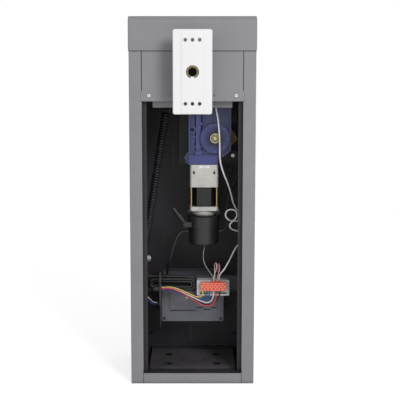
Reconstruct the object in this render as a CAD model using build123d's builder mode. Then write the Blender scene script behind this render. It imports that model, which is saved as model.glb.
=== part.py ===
from build123d import *
from math import atan2, ceil, cos, degrees, hypot, pi, radians, sin, tan
import os

os.makedirs("parts", exist_ok=True)

# Barrier cabinet with an open service front. X runs right, Z up, and the boom side faces -Y.
# Depths are measured back from the front face of the cabinet and turned into Y by at_depth.

# Clearances and cutting overrun
fit = 0.3
running_fit = 0.05
overrun = 5

# Cabinet
housing_width = 350
housing_depth = 300
body_height = 941
sheet = 2
bend_radius = 3
front_strip = 35
rebate_depth = 20
seat_width = 12
top_flange = 20
sill_height = 30
sill_lip = 41
rail_width = 42
rail_height = 20
rail_inset = 83
rail_wall = 3
base_plate_width = 252
base_plate_front = 61
base_plate_back = 239
base_plate_thickness = 10
anchor_spacing_x = 144
anchor_spacing_y = 88
anchor_hole = 18
anchor_centre_depth = 136
knockout_diameter = 76
knockout_groove = 1.5
knockout_groove_depth = 1

# Cap
cap_height = 94
cap_overhang = 1.5
cap_front_radius = 20
cap_corner_radius = 3
cap_lip = 14

# Front and rear cover panels
panel_bottom = 803
panel_gap = 0.4
panel_flange = 18
lug_height = 29
lug_width = 3
panel_shaft_hole = 62
panel_screw_inset = 8
panel_screw_z = 819
panel_hole = 4
panel_fold_radius = 1.5
tab_width = 20
tab_height = 30
screw_head = 11
screw_head_height = 3.2
screw_shank = 5
screw_head_slope = 20
rear_screw_rows = 3
rear_screw_margin = 40

# Boom flange and main shaft
boom_reach = 75
shaft_z = 881
shaft_diameter = 35
shaft_recess = 1
shaft_bore = 21
shaft_bore_depth = 45
shaft_end_depth = 266
key_width = 10
key_height = 8
key_depth = 5
plate_width = 105
plate_height = 224
plate_thickness = 15
plate_corner = 6
plate_edge = 1.5
plate_band = 58
plate_band_step = 0.8
boom_hole = 10
boom_hole_pitch = 19
boom_row_spacing = 168
boom_hole_columns = 3
hub_flange = 92
hub_flange_thickness = 8
hub_barrel = 58
hub_length = 24

# Frame plates that carry the shaft bearings
frame_sheet = 4
front_frame_depth = 32
rear_frame_depth = 230
frame_bottom = 815
frame_top = 930
frame_crown = 946
frame_crown_width = 260
frame_lip_bottom = 786
frame_lip_width = 222
frame_ear = 30
frame_bolt_inset = 25
rear_leg_left = -40
rear_leg_right = 142
rear_leg_bottom = 612
bearing_square = 112
bearing_corner = 14
bearing_bolt_spacing = 84
bearing_flange = 13
bearing_boss = 78
bearing_depth = 32
bearing_outer = 62
bearing_inner_race = 44
bearing_race_width = 20
bolt_shank = 10
bolt_head = 17
bolt_head_height = 6.4
small_bolt_shank = 6
small_bolt_head = 10
small_bolt_head_height = 4

# Balance spring and its lever
spring_lever_depth = 160
lever_thickness = 12
lever_hub = 60
spring_pin_rest_x = -70
spring_pin_rest_drop = 56
spring_pin_diameter = 10
spring_pin_head = 17
spring_pin_head_height = 5
spring_pin_clear = 9
spring_slot_width = 21
spring_slot_wall = 13
spring_depth = 146
spring_wire = 5
spring_coil_radius = 9.2
spring_coils = 52
spring_body_top_z = 772
spring_body_length = 402
spring_anchor_x = -147.5
spring_anchor_z = 337
hook_rise = 11
hook_tail = 10
thimble_wall = 1.5
thimble_width = 7
thimble_spread = 70
thimble_reach = 15
anchor_bolt = 12
anchor_nut = 19
anchor_nut_length = 10
anchor_bolt_inner_x = -124
anchor_pad = 44
anchor_pad_thickness = 5

# Linkage between gearbox and main shaft
drive_x = 65
drive_z = 697
link_radius = 52
link_rest_angle = 66
boom_travel = 90
link_gap = 2
link_pin_diameter = 14
link_eye_radius = 16
rod_gap = 3
rod_rear_gap = 5
rod_thickness = 12
rod_eye_radius = 15
rod_bar = 10
rod_nut = 16.5
rod_nut_length = 9
rod_socket_length = 34
rod_socket_width = 14.85
pin_head_thickness = 3
open_pivot_clearance = 0.25

# Gearbox plate, cam, stops and limit switch
gearbox_plate_thickness = 8
gearbox_plate_left = -12
gearbox_plate_right = 115
gearbox_plate_bottom = 623
gearbox_plate_top = 812
gearbox_plate_ear_x = 134
gearbox_plate_ear_z = 762
spacer_diameter = 16
spacer_inset = 12
cam_gap = 2
cam_thickness = 4
cam_tip_radius = 71.5
cam_tip_angle = -6.5
cam_upper_radius = 57
cam_upper_angle = 33.7
cam_lower_radius = 54
cam_lower_angle = -50.9
cam_hub_radius = 24
buffer_radius = 17
buffer_orbit = 79.5
buffer_angle = -45.2
buffer_depth = 197.5
buffer_bolt_head_radius = 5.5
buffer_bolt_head_height = 4
buffer_length = 20
switch_left = 115.5
switch_width = 17
switch_bottom = 735
switch_height = 30
switch_thickness = 7
switch_leaf_thickness = 0.8
switch_leaf_width = 4
switch_leaf_gap = 0.8

# Worm gearbox
gearbox_front = 97
gearbox_seat_height = 5
gearbox_web = 9
gearbox_left = -11
gearbox_right = 111
gearbox_bottom = 620
gearbox_top = 792
gearbox_foot_height = 23
gearbox_foot_right = 74
gearbox_shoulder_z = 661.5
gearbox_chamfer = 23
gearbox_rim = 5
gearbox_boss_radius = 50
gearbox_rib = 4
gearbox_lug_reach = 13
gearbox_lug_bottom = 626
gearbox_lug_height = 32
gearbox_lug_lower_share = 0.6
gearbox_lug_upper_share = 0.5
rib_height_share = 0.7
column_left = 12
column_width = 11
column_rise = 7.2
cover_radius = 44
cover_inner_radius = 31
cover_thickness = 6
cover_recess = 2
cover_bolt_orbit = 37
cover_bolts = 8
seal_radius = 30
seal_inner_radius = 18
seal_thickness = 4
sleeve_outer = 36
sleeve_inner = 24
sleeve_front = 92
output_shaft_front = 89
output_shaft_end = 213
mounting_hole = 12
mounting_hole_x = -1
mounting_hole_z = 722
mounting_boss_radius = 10.8

# Gearmotor
motor_x = 33.5
motor_depth = 137
gearhead_side = 82
gearhead_corner = 8
gearhead_top = 620
gearhead_bottom = 555
gearhead_notch = 4
gearhead_notch_height = 10
gearhead_notch_z = 596
gearhead_notch_share = 0.37
motor_body_diameter = 70
motor_body_bottom = 498
motor_rib_width = 11
motor_rib_height = 1.5
motor_rib_x = 15.4
motor_rib_y = 32.55
tie_rod_spacing = 74
tie_rod_diameter = 5
end_bell_bottom = 466
end_bell_plate = 12
end_bell_round = 12
brake_cover_upper = 94
brake_cover_lower = 88
brake_cover_step_z = 434
brake_cover_bottom = 384
brake_cover_round = 5
brake_cover_rim = 4
cover_ridge_width = 5
cover_ridge_x = 15
cover_gland_z = 421
cover_gland_radius = 6
cover_gland_length = 6

# Hand release lever of the brake
release_pivot_x = -19
release_pivot_z = 444
release_tip_x = -58
release_tip_z = 493
release_root_diameter = 18
release_grip_diameter = 12
release_root_length = 30
release_ear = 5
release_ear_gap = 12
release_pin = 6
release_depth = 118

# Cross bar, control box and terminal module
cross_bar_depth = 130.5
cross_bar_sheet = 3
cross_bar_bottom = 241
cross_bar_height = 46
cross_bar_ear = 25
box_depth = 150
box_length = 86
box_width = 187
box_bottom = 143
box_height = 135
box_corner = 4
box_wall = 3
box_lid_thickness = 5
box_lid_step = 2.5
box_lid_left = -68
box_lid_bottom = 178
box_lid_right = 73
box_lid_notch = 9
box_lid_notch_left = 8
box_tongue_left = 34
box_tongue_right = 54
box_tongue_drop = 6
box_screw_inset = 8
box_screw_recess = 9
bracket_sheet = 2
bracket_bottom = 129
bracket_gap = 1.5
module_left = 13
module_width = 95
module_bottom = 235
module_height = 46
module_front = 93
module_bracket_sheet = 2
module_bracket_left = 1
module_bracket_width = 120
module_bracket_height = 50
module_bracket_fold = 8
module_slot_z = 242.5
module_slot_height = 4
module_slot_depth = 3
plug_left = 24
plug_width = 75
plug_bottom = 253
plug_height = 24
plug_depth = 15
plug_ways = 7
plug_socket = 3
plug_socket_depth = 4
plug_row_spacing = 13
plug_boss_radius = 4.5
plug_boss_height = 4
plug_boss_ways = (3.5, 4.5, 5.4)

# Cable hank, strap and sleeves
hank_wire = 6
hank_pitch = 7.1
hank_layers = 4
hank_loops = 2
hank_front = 98.5
hank_left_x = -112
hank_right_x = -10.5
hank_z = 268.5
hank_radius = 6
strap_x = -96.7
strap_width = 5
strap_thickness = 1.6
strap_front = 79.2
strap_stub_top = 308
strap_tail_bottom = 207
sleeve_radius = 8.2
bundle_sleeve_length = 21
bundle_end_x = -91.5
bundle_depth = 89.2
bundle_z = 257
side_sleeve_radius = 7
side_sleeve_length = 10
side_sleeve_inset = 31
side_sleeve_depth = 114
side_sleeve_z = 262
gland_radius = 7
gland_length = 8
gland_depth = 158
gland_z = 196
clip_x = 64
clip_depth = 46
clip_bottom = 812
clip_side = 14

# Cords
wire_diameter = 3
white_cable_diameter = 4.5
motor_cable_diameter = 7
thin_wire_diameter = 2.5
side_wire_offset = 2
cord_bend_share = 0.45
samples_per_loop = 240
samples_per_coil = 40
straight_tolerance = 0.000001

# Places worked out from the sizes above
front_y = -(housing_depth + cap_overhang - boom_reach) / 2
half_width = housing_width / 2
opening_half = half_width - front_strip
seat_half = opening_half - seat_width
inner_half = half_width - sheet
panel_screw_x = seat_half - panel_screw_inset
panel_hole_x = panel_screw_x / 2
rod_depth = rear_frame_depth - rod_rear_gap - rod_thickness
link_depth = rod_depth - rod_gap - lever_thickness
cam_depth = link_depth - link_gap - cam_thickness
gearbox_plate_back = cam_depth - cam_gap
gearbox_plate_depth = gearbox_plate_back - gearbox_plate_thickness
gearbox_back = gearbox_plate_depth - gearbox_seat_height
gearbox_depth = gearbox_back - gearbox_front
side_sleeve_x = side_sleeve_inset - inner_half
hank_half_height = hank_radius + hank_loops * hank_pitch + hank_wire / 2
strap_bottom = hank_z - hank_half_height - fit - strap_thickness
strap_top = hank_z + hank_half_height + fit + strap_thickness


def at_depth(depth):
    return front_y + depth


def polar(x, z, radius, angle):
    return (x + radius * cos(radians(angle)), z + radius * sin(radians(angle)))


def front_plane(depth):
    """Sketch plane facing the front: its X is right, its Y is up, and a sketch extrudes forwards."""
    return Plane(origin=(0, at_depth(depth), 0), x_dir=(1, 0, 0), z_dir=(0, -1, 0))


def plan_plane(height):
    return Plane.XY.offset(height)


def cord_radii(points):
    """Bend radius at each inner point of a cord: a share of the shorter run over tan of half the turn."""
    radii = []
    for before, here, after in zip(points, points[1:], points[2:]):
        run_in = Vector(*here) - Vector(*before)
        run_out = Vector(*after) - Vector(*here)
        half_turn = radians(run_in.get_angle(run_out)) / 2
        shorter = min(run_in.length, run_out.length)
        radii.append(cord_bend_share * shorter / tan(half_turn))
    return radii


def route(points):
    return [(x, at_depth(depth), z) for x, depth, z in points]


def report_cord(name, points, diameter, radii, volume, length):
    share = volume / (pi * diameter * diameter / 4 * length)
    print(f"{name}: length {length:.0f}, least radius {min(radii):.1f}, volume share {share:.4f}")


# Side panels: folded sheet with a front strip, a rebate and a seat flange at both ends
def side_outline(side):
    return [
        (side * seat_half, at_depth(rebate_depth)),
        (side * opening_half, at_depth(rebate_depth)),
        (side * opening_half, at_depth(0)),
        (side * half_width, at_depth(0)),
        (side * half_width, at_depth(housing_depth)),
        (side * opening_half, at_depth(housing_depth)),
        (side * opening_half, at_depth(housing_depth - rebate_depth)),
        (side * seat_half, at_depth(housing_depth - rebate_depth)),
    ]


def side_inner_outline(side):
    inner = half_width - sheet
    rebate = rebate_depth + sheet
    wall = opening_half + sheet
    return [
        (side * seat_half, at_depth(housing_depth - rebate)),
        (side * wall, at_depth(housing_depth - rebate)),
        (side * wall, at_depth(housing_depth - sheet)),
        (side * inner, at_depth(housing_depth - sheet)),
        (side * inner, at_depth(sheet)),
        (side * wall, at_depth(sheet)),
        (side * wall, at_depth(rebate)),
        (side * seat_half, at_depth(rebate)),
    ]


panel_half = opening_half - panel_gap
rear_screw_columns = 2 * (panel_half - sheet - fit) - screw_head
rear_screw_pitch = (body_height - sill_height) / (rear_screw_rows - 1) - rear_screw_margin
rear_screw_z = (body_height + sill_height) / 2
rear_screw_steps = range(-(rear_screw_rows // 2), rear_screw_rows // 2 + 1)
rear_screw_places = [
    (side * rear_screw_columns / 2, rear_screw_z + step * rear_screw_pitch)
    for side in (-1, 1)
    for step in rear_screw_steps
]


def side_panel(side):
    with BuildPart() as panel:
        with BuildSketch(plan_plane(0)):
            with BuildLine():
                Polyline(*side_outline(side), *side_inner_outline(side), close=True)
            make_face()
        extrude(amount=body_height)
        # outer fold corners
        corners = panel.edges().filter_by(Axis.Z).group_by(Axis.X)[0 if side < 0 else -1]
        fillet(corners, bend_radius)
        # flange that the cap rests on
        with BuildSketch(plan_plane(body_height - sheet)):
            with Locations((side * (inner_half - top_flange / 2), at_depth(housing_depth / 2))):
                Rectangle(top_flange, housing_depth - 2 * (rebate_depth + sheet + fit))
        extrude(amount=sheet)
        # screw tabs behind the upper front panel
        with BuildSketch(front_plane(rebate_depth + sheet)):
            with Locations((side * (seat_half - tab_width / 2), panel_screw_z)):
                Rectangle(tab_width, tab_height)
        extrude(amount=sheet)
        # notch in the strip for the panel lug
        with BuildSketch(front_plane(sheet)):
            with Locations((side * (opening_half + lug_width / 2), panel_bottom + lug_height / 2)):
                Rectangle(lug_width + 2 * panel_gap, lug_height + 2 * panel_gap)
        extrude(amount=sheet, mode=Mode.SUBTRACT)
        # screw holes through the tab and the rear flange
        with Locations(front_plane(rebate_depth)):
            with Locations((side * panel_screw_x, panel_screw_z)):
                Hole(screw_shank / 2 + running_fit, depth=3 * sheet)
        with Locations(front_plane(housing_depth - rebate_depth - sheet)):
            with Locations(*[place for place in rear_screw_places if place[0] * side > 0]):
                Hole(screw_shank / 2 + running_fit, depth=3 * sheet)
        # holes for the frame, cross bar and spring anchor bolts
        with Locations(*side_bolt_planes(side)):
            Hole(small_bolt_shank / 2 + running_fit, depth=2 * sheet)
        if side < 0:
            with Locations(anchor_plane()):
                Hole(anchor_bolt / 2 + running_fit, depth=2 * sheet)
    return panel


def wall_plane(side, depth, height):
    """Plane on the inner face of a side wall, with its normal pointing into the cabinet."""
    return Plane(origin=(side * inner_half, at_depth(depth), height), x_dir=(0, 1, 0), z_dir=(-side, 0, 0))


def side_bolt_places():
    front_ear = front_frame_depth + frame_sheet + frame_ear / 2
    rear_ear = rear_frame_depth - frame_ear / 2
    low = frame_bottom + frame_bolt_inset
    high = frame_top - frame_bolt_inset
    bar_z = cross_bar_bottom + cross_bar_height / 2
    bar_depth = cross_bar_depth + cross_bar_ear / 2 + cross_bar_sheet
    places = [(depth, height) for depth in (front_ear, rear_ear) for height in (low, high)]
    return places + [(bar_depth, bar_z)]


def side_bolt_planes(side):
    return [wall_plane(side, depth, height) for depth, height in side_bolt_places()]


def anchor_plane():
    return wall_plane(-1, spring_depth, spring_anchor_z)


left_side_panel = side_panel(-1)
left_side_panel.part.label = "left_side_panel"
export_step(left_side_panel.part, "parts/left_side_panel.step")

right_side_panel = side_panel(1)
right_side_panel.part.label = "right_side_panel"
export_step(right_side_panel.part, "parts/right_side_panel.step")


# Sills: folded channels that tie the side panels at the foot, front and rear
sill_half = opening_half - panel_gap
with BuildPart() as sills:
    for face_depth, inward in ((0, 1), (housing_depth, -1)):
        with BuildSketch(Plane.YZ.offset(-sill_half)):
            with BuildLine():
                Polyline(
                    (at_depth(face_depth), 0),
                    (at_depth(face_depth), sill_height),
                    (at_depth(face_depth + inward * sill_lip), sill_height),
                    (at_depth(face_depth + inward * sill_lip), sill_height - rail_height / 2),
                    (at_depth(face_depth + inward * (sill_lip - sheet)), sill_height - rail_height / 2),
                    (at_depth(face_depth + inward * (sill_lip - sheet)), sill_height - sheet),
                    (at_depth(face_depth + inward * sheet), sill_height - sheet),
                    (at_depth(face_depth + inward * sheet), 0),
                    close=True,
                )
            make_face()
        extrude(amount=2 * sill_half)
    # notches where the seat flanges come down
    for side in (-1, 1):
        with BuildSketch(plan_plane(-overrun)):
            with Locations((side * (sill_half + seat_half - panel_gap) / 2, at_depth(housing_depth / 2))):
                Rectangle(
                    sill_half - seat_half + panel_gap,
                    housing_depth - 2 * (rebate_depth - panel_gap),
                )
        extrude(amount=sill_height + 2 * overrun, mode=Mode.SUBTRACT)
sills.part.label = "sills"
export_step(sills.part, "parts/sills.step")


# Base rails: two channels from sill to sill that carry the base plate
rail_start = sheet + fit
with BuildPart() as base_rails:
    for side in (-1, 1):
        rail_centre = side * (rail_inset + rail_width / 2)
        with BuildSketch(Plane.XZ.offset(-at_depth(rail_start))):
            with Locations((rail_centre, rail_height / 2)):
                Rectangle(rail_width, rail_height)
            with Locations((rail_centre, rail_height / 2 - rail_wall)):
                Rectangle(rail_width - 2 * rail_wall, rail_height, mode=Mode.SUBTRACT)
        extrude(amount=-(housing_depth - 2 * rail_start))
    # the sill lips hang over the rail ends, so the rails step down there
    for depth in (sill_lip - sheet / 2, housing_depth - sill_lip + sheet / 2):
        with BuildSketch(plan_plane(sill_height - rail_height / 2 - fit)):
            with Locations((0, at_depth(depth))):
                Rectangle(housing_width, 3 * sheet)
        extrude(amount=rail_height, mode=Mode.SUBTRACT)
base_rails.part.label = "base_rails"
export_step(base_rails.part, "parts/base_rails.step")


# Base plate with the four anchor holes and the scored cable knockout
anchor_plane_y = at_depth(anchor_centre_depth)
with BuildPart() as base_plate:
    with BuildSketch(plan_plane(rail_height)):
        with Locations((0, at_depth((base_plate_front + base_plate_back) / 2))):
            RectangleRounded(base_plate_width, base_plate_back - base_plate_front, bend_radius)
    extrude(amount=base_plate_thickness)
    plate_top = rail_height + base_plate_thickness
    with Locations((0, anchor_plane_y, plate_top)):
        with GridLocations(anchor_spacing_x, anchor_spacing_y, 2, 2):
            Hole(anchor_hole / 2, depth=base_plate_thickness)
    with BuildSketch(plan_plane(plate_top)):
        with Locations((0, anchor_plane_y)):
            Circle(knockout_diameter / 2)
            Circle(knockout_diameter / 2 - knockout_groove, mode=Mode.SUBTRACT)
    extrude(amount=-knockout_groove_depth, mode=Mode.SUBTRACT)
base_plate.part.label = "base_plate"
export_step(base_plate.part, "parts/base_plate.step")


# Cap: folded lid with rounded front and rear edges and a lip that sits on the body
cap_width = housing_width + 2 * cap_overhang
cap_depth = housing_depth + 2 * cap_overhang
cap_middle = at_depth(housing_depth / 2)
cap_bottom = body_height
cap_top = body_height + cap_height
with BuildPart() as top_cap:
    with BuildSketch(Plane.YZ.offset(-cap_width / 2)) as cap_profile:
        with Locations((cap_middle, (cap_bottom + cap_top) / 2)):
            Rectangle(cap_depth, cap_height)
        fillet(cap_profile.vertices().group_by(Axis.Y)[-1], cap_front_radius)
    extrude(amount=cap_width)
    cap_ends = top_cap.faces().sort_by(Axis.X)[0].edges() + top_cap.faces().sort_by(Axis.X)[-1].edges()
    fillet([edge for edge in cap_ends if edge.center().Z > cap_bottom + sheet], cap_corner_radius)
    with BuildSketch(Plane.YZ.offset(-cap_width / 2 + sheet)) as cap_hollow:
        with Locations((cap_middle, (cap_bottom + cap_top) / 2)):
            Rectangle(cap_depth - 2 * sheet, cap_height - 2 * sheet)
        fillet(cap_hollow.vertices().group_by(Axis.Y)[-1], cap_front_radius - sheet)
    extrude(amount=cap_width - 2 * sheet, mode=Mode.SUBTRACT)
    with BuildSketch(plan_plane(cap_bottom)):
        with Locations((0, cap_middle)):
            Rectangle(cap_width - 2 * (sheet + cap_lip), cap_depth - 2 * (sheet + cap_lip))
    extrude(amount=sheet, mode=Mode.SUBTRACT)
top_cap.part.label = "top_cap"
export_step(top_cap.part, "parts/top_cap.step")


# Upper front panel with a folded lower edge and two lugs over the strips
panel_top = body_height - panel_gap
with BuildPart() as upper_front_panel:
    with BuildSketch(front_plane(sheet)):
        with Locations((0, (panel_bottom + panel_top) / 2)):
            Rectangle(2 * panel_half, panel_top - panel_bottom)
        with Locations((0, panel_bottom + lug_height / 2)):
            Rectangle(2 * (opening_half + lug_width), lug_height)
        with Locations((0, shaft_z)):
            Circle(panel_shaft_hole / 2, mode=Mode.SUBTRACT)
        with Locations((-panel_hole_x, panel_screw_z), (panel_hole_x, panel_screw_z)):
            Circle(panel_hole / 2, mode=Mode.SUBTRACT)
        with Locations((-panel_screw_x, panel_screw_z), (panel_screw_x, panel_screw_z)):
            Circle(screw_shank / 2 + running_fit, mode=Mode.SUBTRACT)
    extrude(amount=sheet)
    with BuildSketch(plan_plane(panel_bottom)):
        with Locations((0, at_depth(panel_flange / 2))):
            Rectangle(2 * panel_half, panel_flange)
    extrude(amount=sheet)
    fold = upper_front_panel.edges().filter_by(Axis.X).group_by(Axis.Z)[0].sort_by(Axis.Y)[0]
    fillet(fold, panel_fold_radius)
upper_front_panel.part.label = "upper_front_panel"
export_step(upper_front_panel.part, "parts/upper_front_panel.step")


# Rear cover, set in the rear rebate
with BuildPart() as rear_cover:
    cover_face = housing_depth - rebate_depth
    with BuildSketch(front_plane(cover_face + sheet)):
        with Locations((0, (sill_height + panel_top + panel_gap) / 2)):
            Rectangle(2 * panel_half, panel_top - sill_height - panel_gap)
    extrude(amount=sheet)
    for side in (-1, 1):
        with BuildSketch(front_plane(housing_depth)):
            with Locations((side * (panel_half - sheet / 2), (sill_height + panel_top + panel_gap) / 2)):
                Rectangle(sheet, panel_top - sill_height - panel_gap)
        extrude(amount=rebate_depth - sheet)
    with Locations(front_plane(cover_face)):
        with Locations(*rear_screw_places):
            Hole(screw_shank / 2 + running_fit, depth=3 * sheet)
rear_cover.part.label = "rear_cover"
export_step(rear_cover.part, "parts/rear_cover.step")


# Frame plates: bolted between the side walls, they carry the main shaft bearings
ear_z = (frame_bottom + frame_top) / 2
ear_height = frame_top - frame_bottom


def add_ears(front_depth, back_depth):
    """Folded ears at both ends of a frame plate, against the side walls, with their bolt holes."""
    for side in (-1, 1):
        with BuildSketch(wall_plane(side, (front_depth + back_depth) / 2, ear_z)) as ear:
            Rectangle(back_depth - front_depth, ear_height)
        extrude(ear.sketch, amount=frame_sheet)
        with Locations(*side_bolt_planes(side)[:4]):
            Hole(small_bolt_shank / 2 + running_fit, depth=frame_sheet)


def bearing_holes(shaft_hole):
    with Locations((0, shaft_z)):
        Circle(shaft_hole / 2, mode=Mode.SUBTRACT)
        with GridLocations(bearing_bolt_spacing, bearing_bolt_spacing, 2, 2):
            Circle(bolt_shank / 2 + running_fit, mode=Mode.SUBTRACT)


with BuildPart() as front_frame_plate:
    with BuildSketch(front_plane(front_frame_depth + frame_sheet)):
        with Locations((0, ear_z)):
            Rectangle(2 * inner_half, ear_height)
        with Locations((0, (frame_lip_bottom + ear_z) / 2)):
            Rectangle(frame_lip_width, ear_z - frame_lip_bottom)
        with Locations((0, (ear_z + frame_crown) / 2)):
            Rectangle(frame_crown_width, frame_crown - ear_z)
        bearing_holes(bearing_boss)
    extrude(amount=frame_sheet)
    add_ears(front_frame_depth, front_frame_depth + frame_sheet + frame_ear)
front_frame_plate.part.label = "front_frame_plate"
export_step(front_frame_plate.part, "parts/front_frame_plate.step")

spacer_places = [
    (gearbox_plate_left + spacer_inset, gearbox_plate_bottom + spacer_inset),
    (gearbox_plate_left + spacer_inset, gearbox_plate_top - spacer_inset),
    (gearbox_plate_right - spacer_inset, gearbox_plate_top - spacer_inset),
]
low_buffer = polar(drive_x, drive_z, buffer_orbit, buffer_angle)

with BuildPart() as rear_frame_plate:
    with BuildSketch(front_plane(rear_frame_depth + frame_sheet)):
        with Locations((0, ear_z)):
            Rectangle(2 * inner_half, ear_height)
        with Locations(((rear_leg_left + rear_leg_right) / 2, (rear_leg_bottom + ear_z) / 2)):
            Rectangle(rear_leg_right - rear_leg_left, ear_z - rear_leg_bottom)
        with Locations((0, (ear_z + frame_crown) / 2)):
            Rectangle(frame_crown_width, frame_crown - ear_z)
        bearing_holes(bearing_boss)
        with Locations(*spacer_places):
            Circle(bolt_shank / 2 + running_fit, mode=Mode.SUBTRACT)
        with Locations(low_buffer):
            Circle(small_bolt_shank / 2 + running_fit, mode=Mode.SUBTRACT)
    extrude(amount=frame_sheet)
    add_ears(rear_frame_depth - frame_ear, rear_frame_depth)
rear_frame_plate.part.label = "rear_frame_plate"
export_step(rear_frame_plate.part, "parts/rear_frame_plate.step")


# Shaft bearings: square cast flange units behind each frame plate
with BuildPart() as bearing_housings:
    for depth in (front_frame_depth + frame_sheet, rear_frame_depth + frame_sheet):
        with BuildSketch(front_plane(depth + bearing_flange)):
            with Locations((0, shaft_z)):
                RectangleRounded(bearing_square, bearing_square, bearing_corner)
                with GridLocations(bearing_bolt_spacing, bearing_bolt_spacing, 2, 2):
                    Circle(bolt_shank / 2 + running_fit, mode=Mode.SUBTRACT)
        extrude(amount=bearing_flange)
        with BuildSketch(front_plane(depth + bearing_depth)):
            with Locations((0, shaft_z)):
                Circle(bearing_boss / 2)
        extrude(amount=bearing_depth)
        with BuildSketch(front_plane(depth + bearing_depth + overrun)):
            with Locations((0, shaft_z)):
                Circle(bearing_outer / 2)
        extrude(amount=bearing_depth + 2 * overrun, mode=Mode.SUBTRACT)
bearing_housings.part.label = "bearing_housings"
export_step(bearing_housings.part, "parts/bearing_housings.step")

with BuildPart() as bearing_inserts:
    for depth in (front_frame_depth + frame_sheet, rear_frame_depth + frame_sheet):
        race_start = depth + (bearing_depth - bearing_race_width) / 2
        with BuildSketch(front_plane(race_start + bearing_race_width)):
            with Locations((0, shaft_z)):
                Circle(bearing_outer / 2)
                Circle(shaft_diameter / 2 + running_fit, mode=Mode.SUBTRACT)
        extrude(amount=bearing_race_width)
        # the inner race stands out on both sides
        with BuildSketch(front_plane(depth + bearing_depth)):
            with Locations((0, shaft_z)):
                Circle(bearing_inner_race / 2)
                Circle(shaft_diameter / 2 + running_fit, mode=Mode.SUBTRACT)
        extrude(amount=bearing_depth)
bearing_inserts.part.label = "bearing_inserts"
export_step(bearing_inserts.part, "parts/bearing_inserts.step")


# Hexagon bolts that hold the bearings, frame plates, cross bar and spacers
def bolt(plane, shank, head, head_height, length):
    """A hexagon bolt whose head sits on the plane, with its shank going down the plane's normal."""
    with BuildSketch(plane) as hexagon:
        RegularPolygon(head / 2, 6)
    extrude(hexagon.sketch, amount=head_height)
    with BuildSketch(plane) as round_shank:
        Circle(shank / 2)
    extrude(round_shank.sketch, amount=-length)


def facing(x, depth, z, forward=1):
    """Plane at a point, with its normal towards the front (forward 1) or the rear (forward -1)."""
    return Plane(origin=(x, at_depth(depth), z), x_dir=(forward, 0, 0), z_dir=(0, -forward, 0))


bearing_bolt_half = bearing_bolt_spacing / 2
with BuildPart() as frame_bolts:
    rear_flange_back = rear_frame_depth + frame_sheet + bearing_flange
    for depth, forward in ((front_frame_depth, 1), (rear_flange_back, -1)):
        for x in (-bearing_bolt_half, bearing_bolt_half):
            for z in (shaft_z - bearing_bolt_half, shaft_z + bearing_bolt_half):
                bolt(
                    facing(x, depth, z, forward),
                    bolt_shank,
                    bolt_head,
                    bolt_head_height,
                    frame_sheet + bearing_flange,
                )
    for side in (-1, 1):
        for depth, z in side_bolt_places():
            ear_face = wall_plane(side, depth, z)
            plate = frame_sheet if z > frame_bottom else cross_bar_sheet
            bolt(
                ear_face.offset(plate),
                small_bolt_shank,
                small_bolt_head,
                small_bolt_head_height,
                plate + sheet - running_fit,
            )
frame_bolts.part.label = "frame_bolts"
export_step(frame_bolts.part, "parts/frame_bolts.step")


# Boom body: main shaft, keys, flange plate, hub, spring lever and link lever
shaft_front = -boom_reach + shaft_recess
key_face = shaft_diameter / 2 - key_depth
spring_pin_rest = (spring_pin_rest_x, shaft_z - spring_pin_rest_drop)
spring_pin_radius_rest = hypot(spring_pin_rest_x, spring_pin_rest_drop)
spring_lever_angle = degrees(atan2(-spring_pin_rest_drop, spring_pin_rest_x))
spring_pin_radius_mid = spring_pin_radius_rest * cos(radians(boom_travel) / 2)
spring_lever_end = spring_lever_depth + lever_thickness
link_lever_end = link_depth + lever_thickness
key_runs = [
    (-90, -boom_reach + shaft_recess, -boom_reach + plate_thickness + hub_flange_thickness + hub_length),
    (90, spring_lever_depth - lever_thickness / 2, spring_lever_end + lever_thickness / 2),
    (180, link_depth, link_lever_end),
]


def key_block(angle, start, end):
    """A key along the shaft at an angle round it, from one depth to another."""
    plane = Plane(
        origin=(0, at_depth(start), shaft_z),
        x_dir=(-sin(radians(angle)), 0, cos(radians(angle))),
        z_dir=(0, 1, 0),
    )
    radial = Vector(cos(radians(angle)), 0, sin(radians(angle)))
    reach = key_face + key_height / 2
    with BuildSketch(plane) as section:
        with Locations((0, reach if plane.y_dir.dot(radial) > 0 else -reach)):
            Rectangle(key_width, key_height)
    extrude(section.sketch, amount=end - start)


with BuildPart() as shaft_keys:
    for key_angle, key_start, key_end in key_runs:
        key_block(key_angle, key_start, key_end)
shaft_keys.part.label = "shaft_keys"
export_step(shaft_keys.part, "parts/shaft_keys.step")

with BuildPart() as main_shaft:
    with BuildSketch(front_plane(shaft_end_depth)):
        with Locations((0, shaft_z)):
            Circle(shaft_diameter / 2)
    extrude(amount=shaft_end_depth - shaft_front)
    chamfer(main_shaft.edges().filter_by(GeomType.CIRCLE), shaft_recess)
    with BuildSketch(front_plane(shaft_front)):
        with Locations((0, shaft_z)):
            Circle(shaft_bore / 2)
    extrude(amount=-shaft_bore_depth, mode=Mode.SUBTRACT)
    add(shaft_keys.part, mode=Mode.SUBTRACT)
main_shaft.part.label = "main_shaft"
export_step(main_shaft.part, "parts/main_shaft.step")

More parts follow.
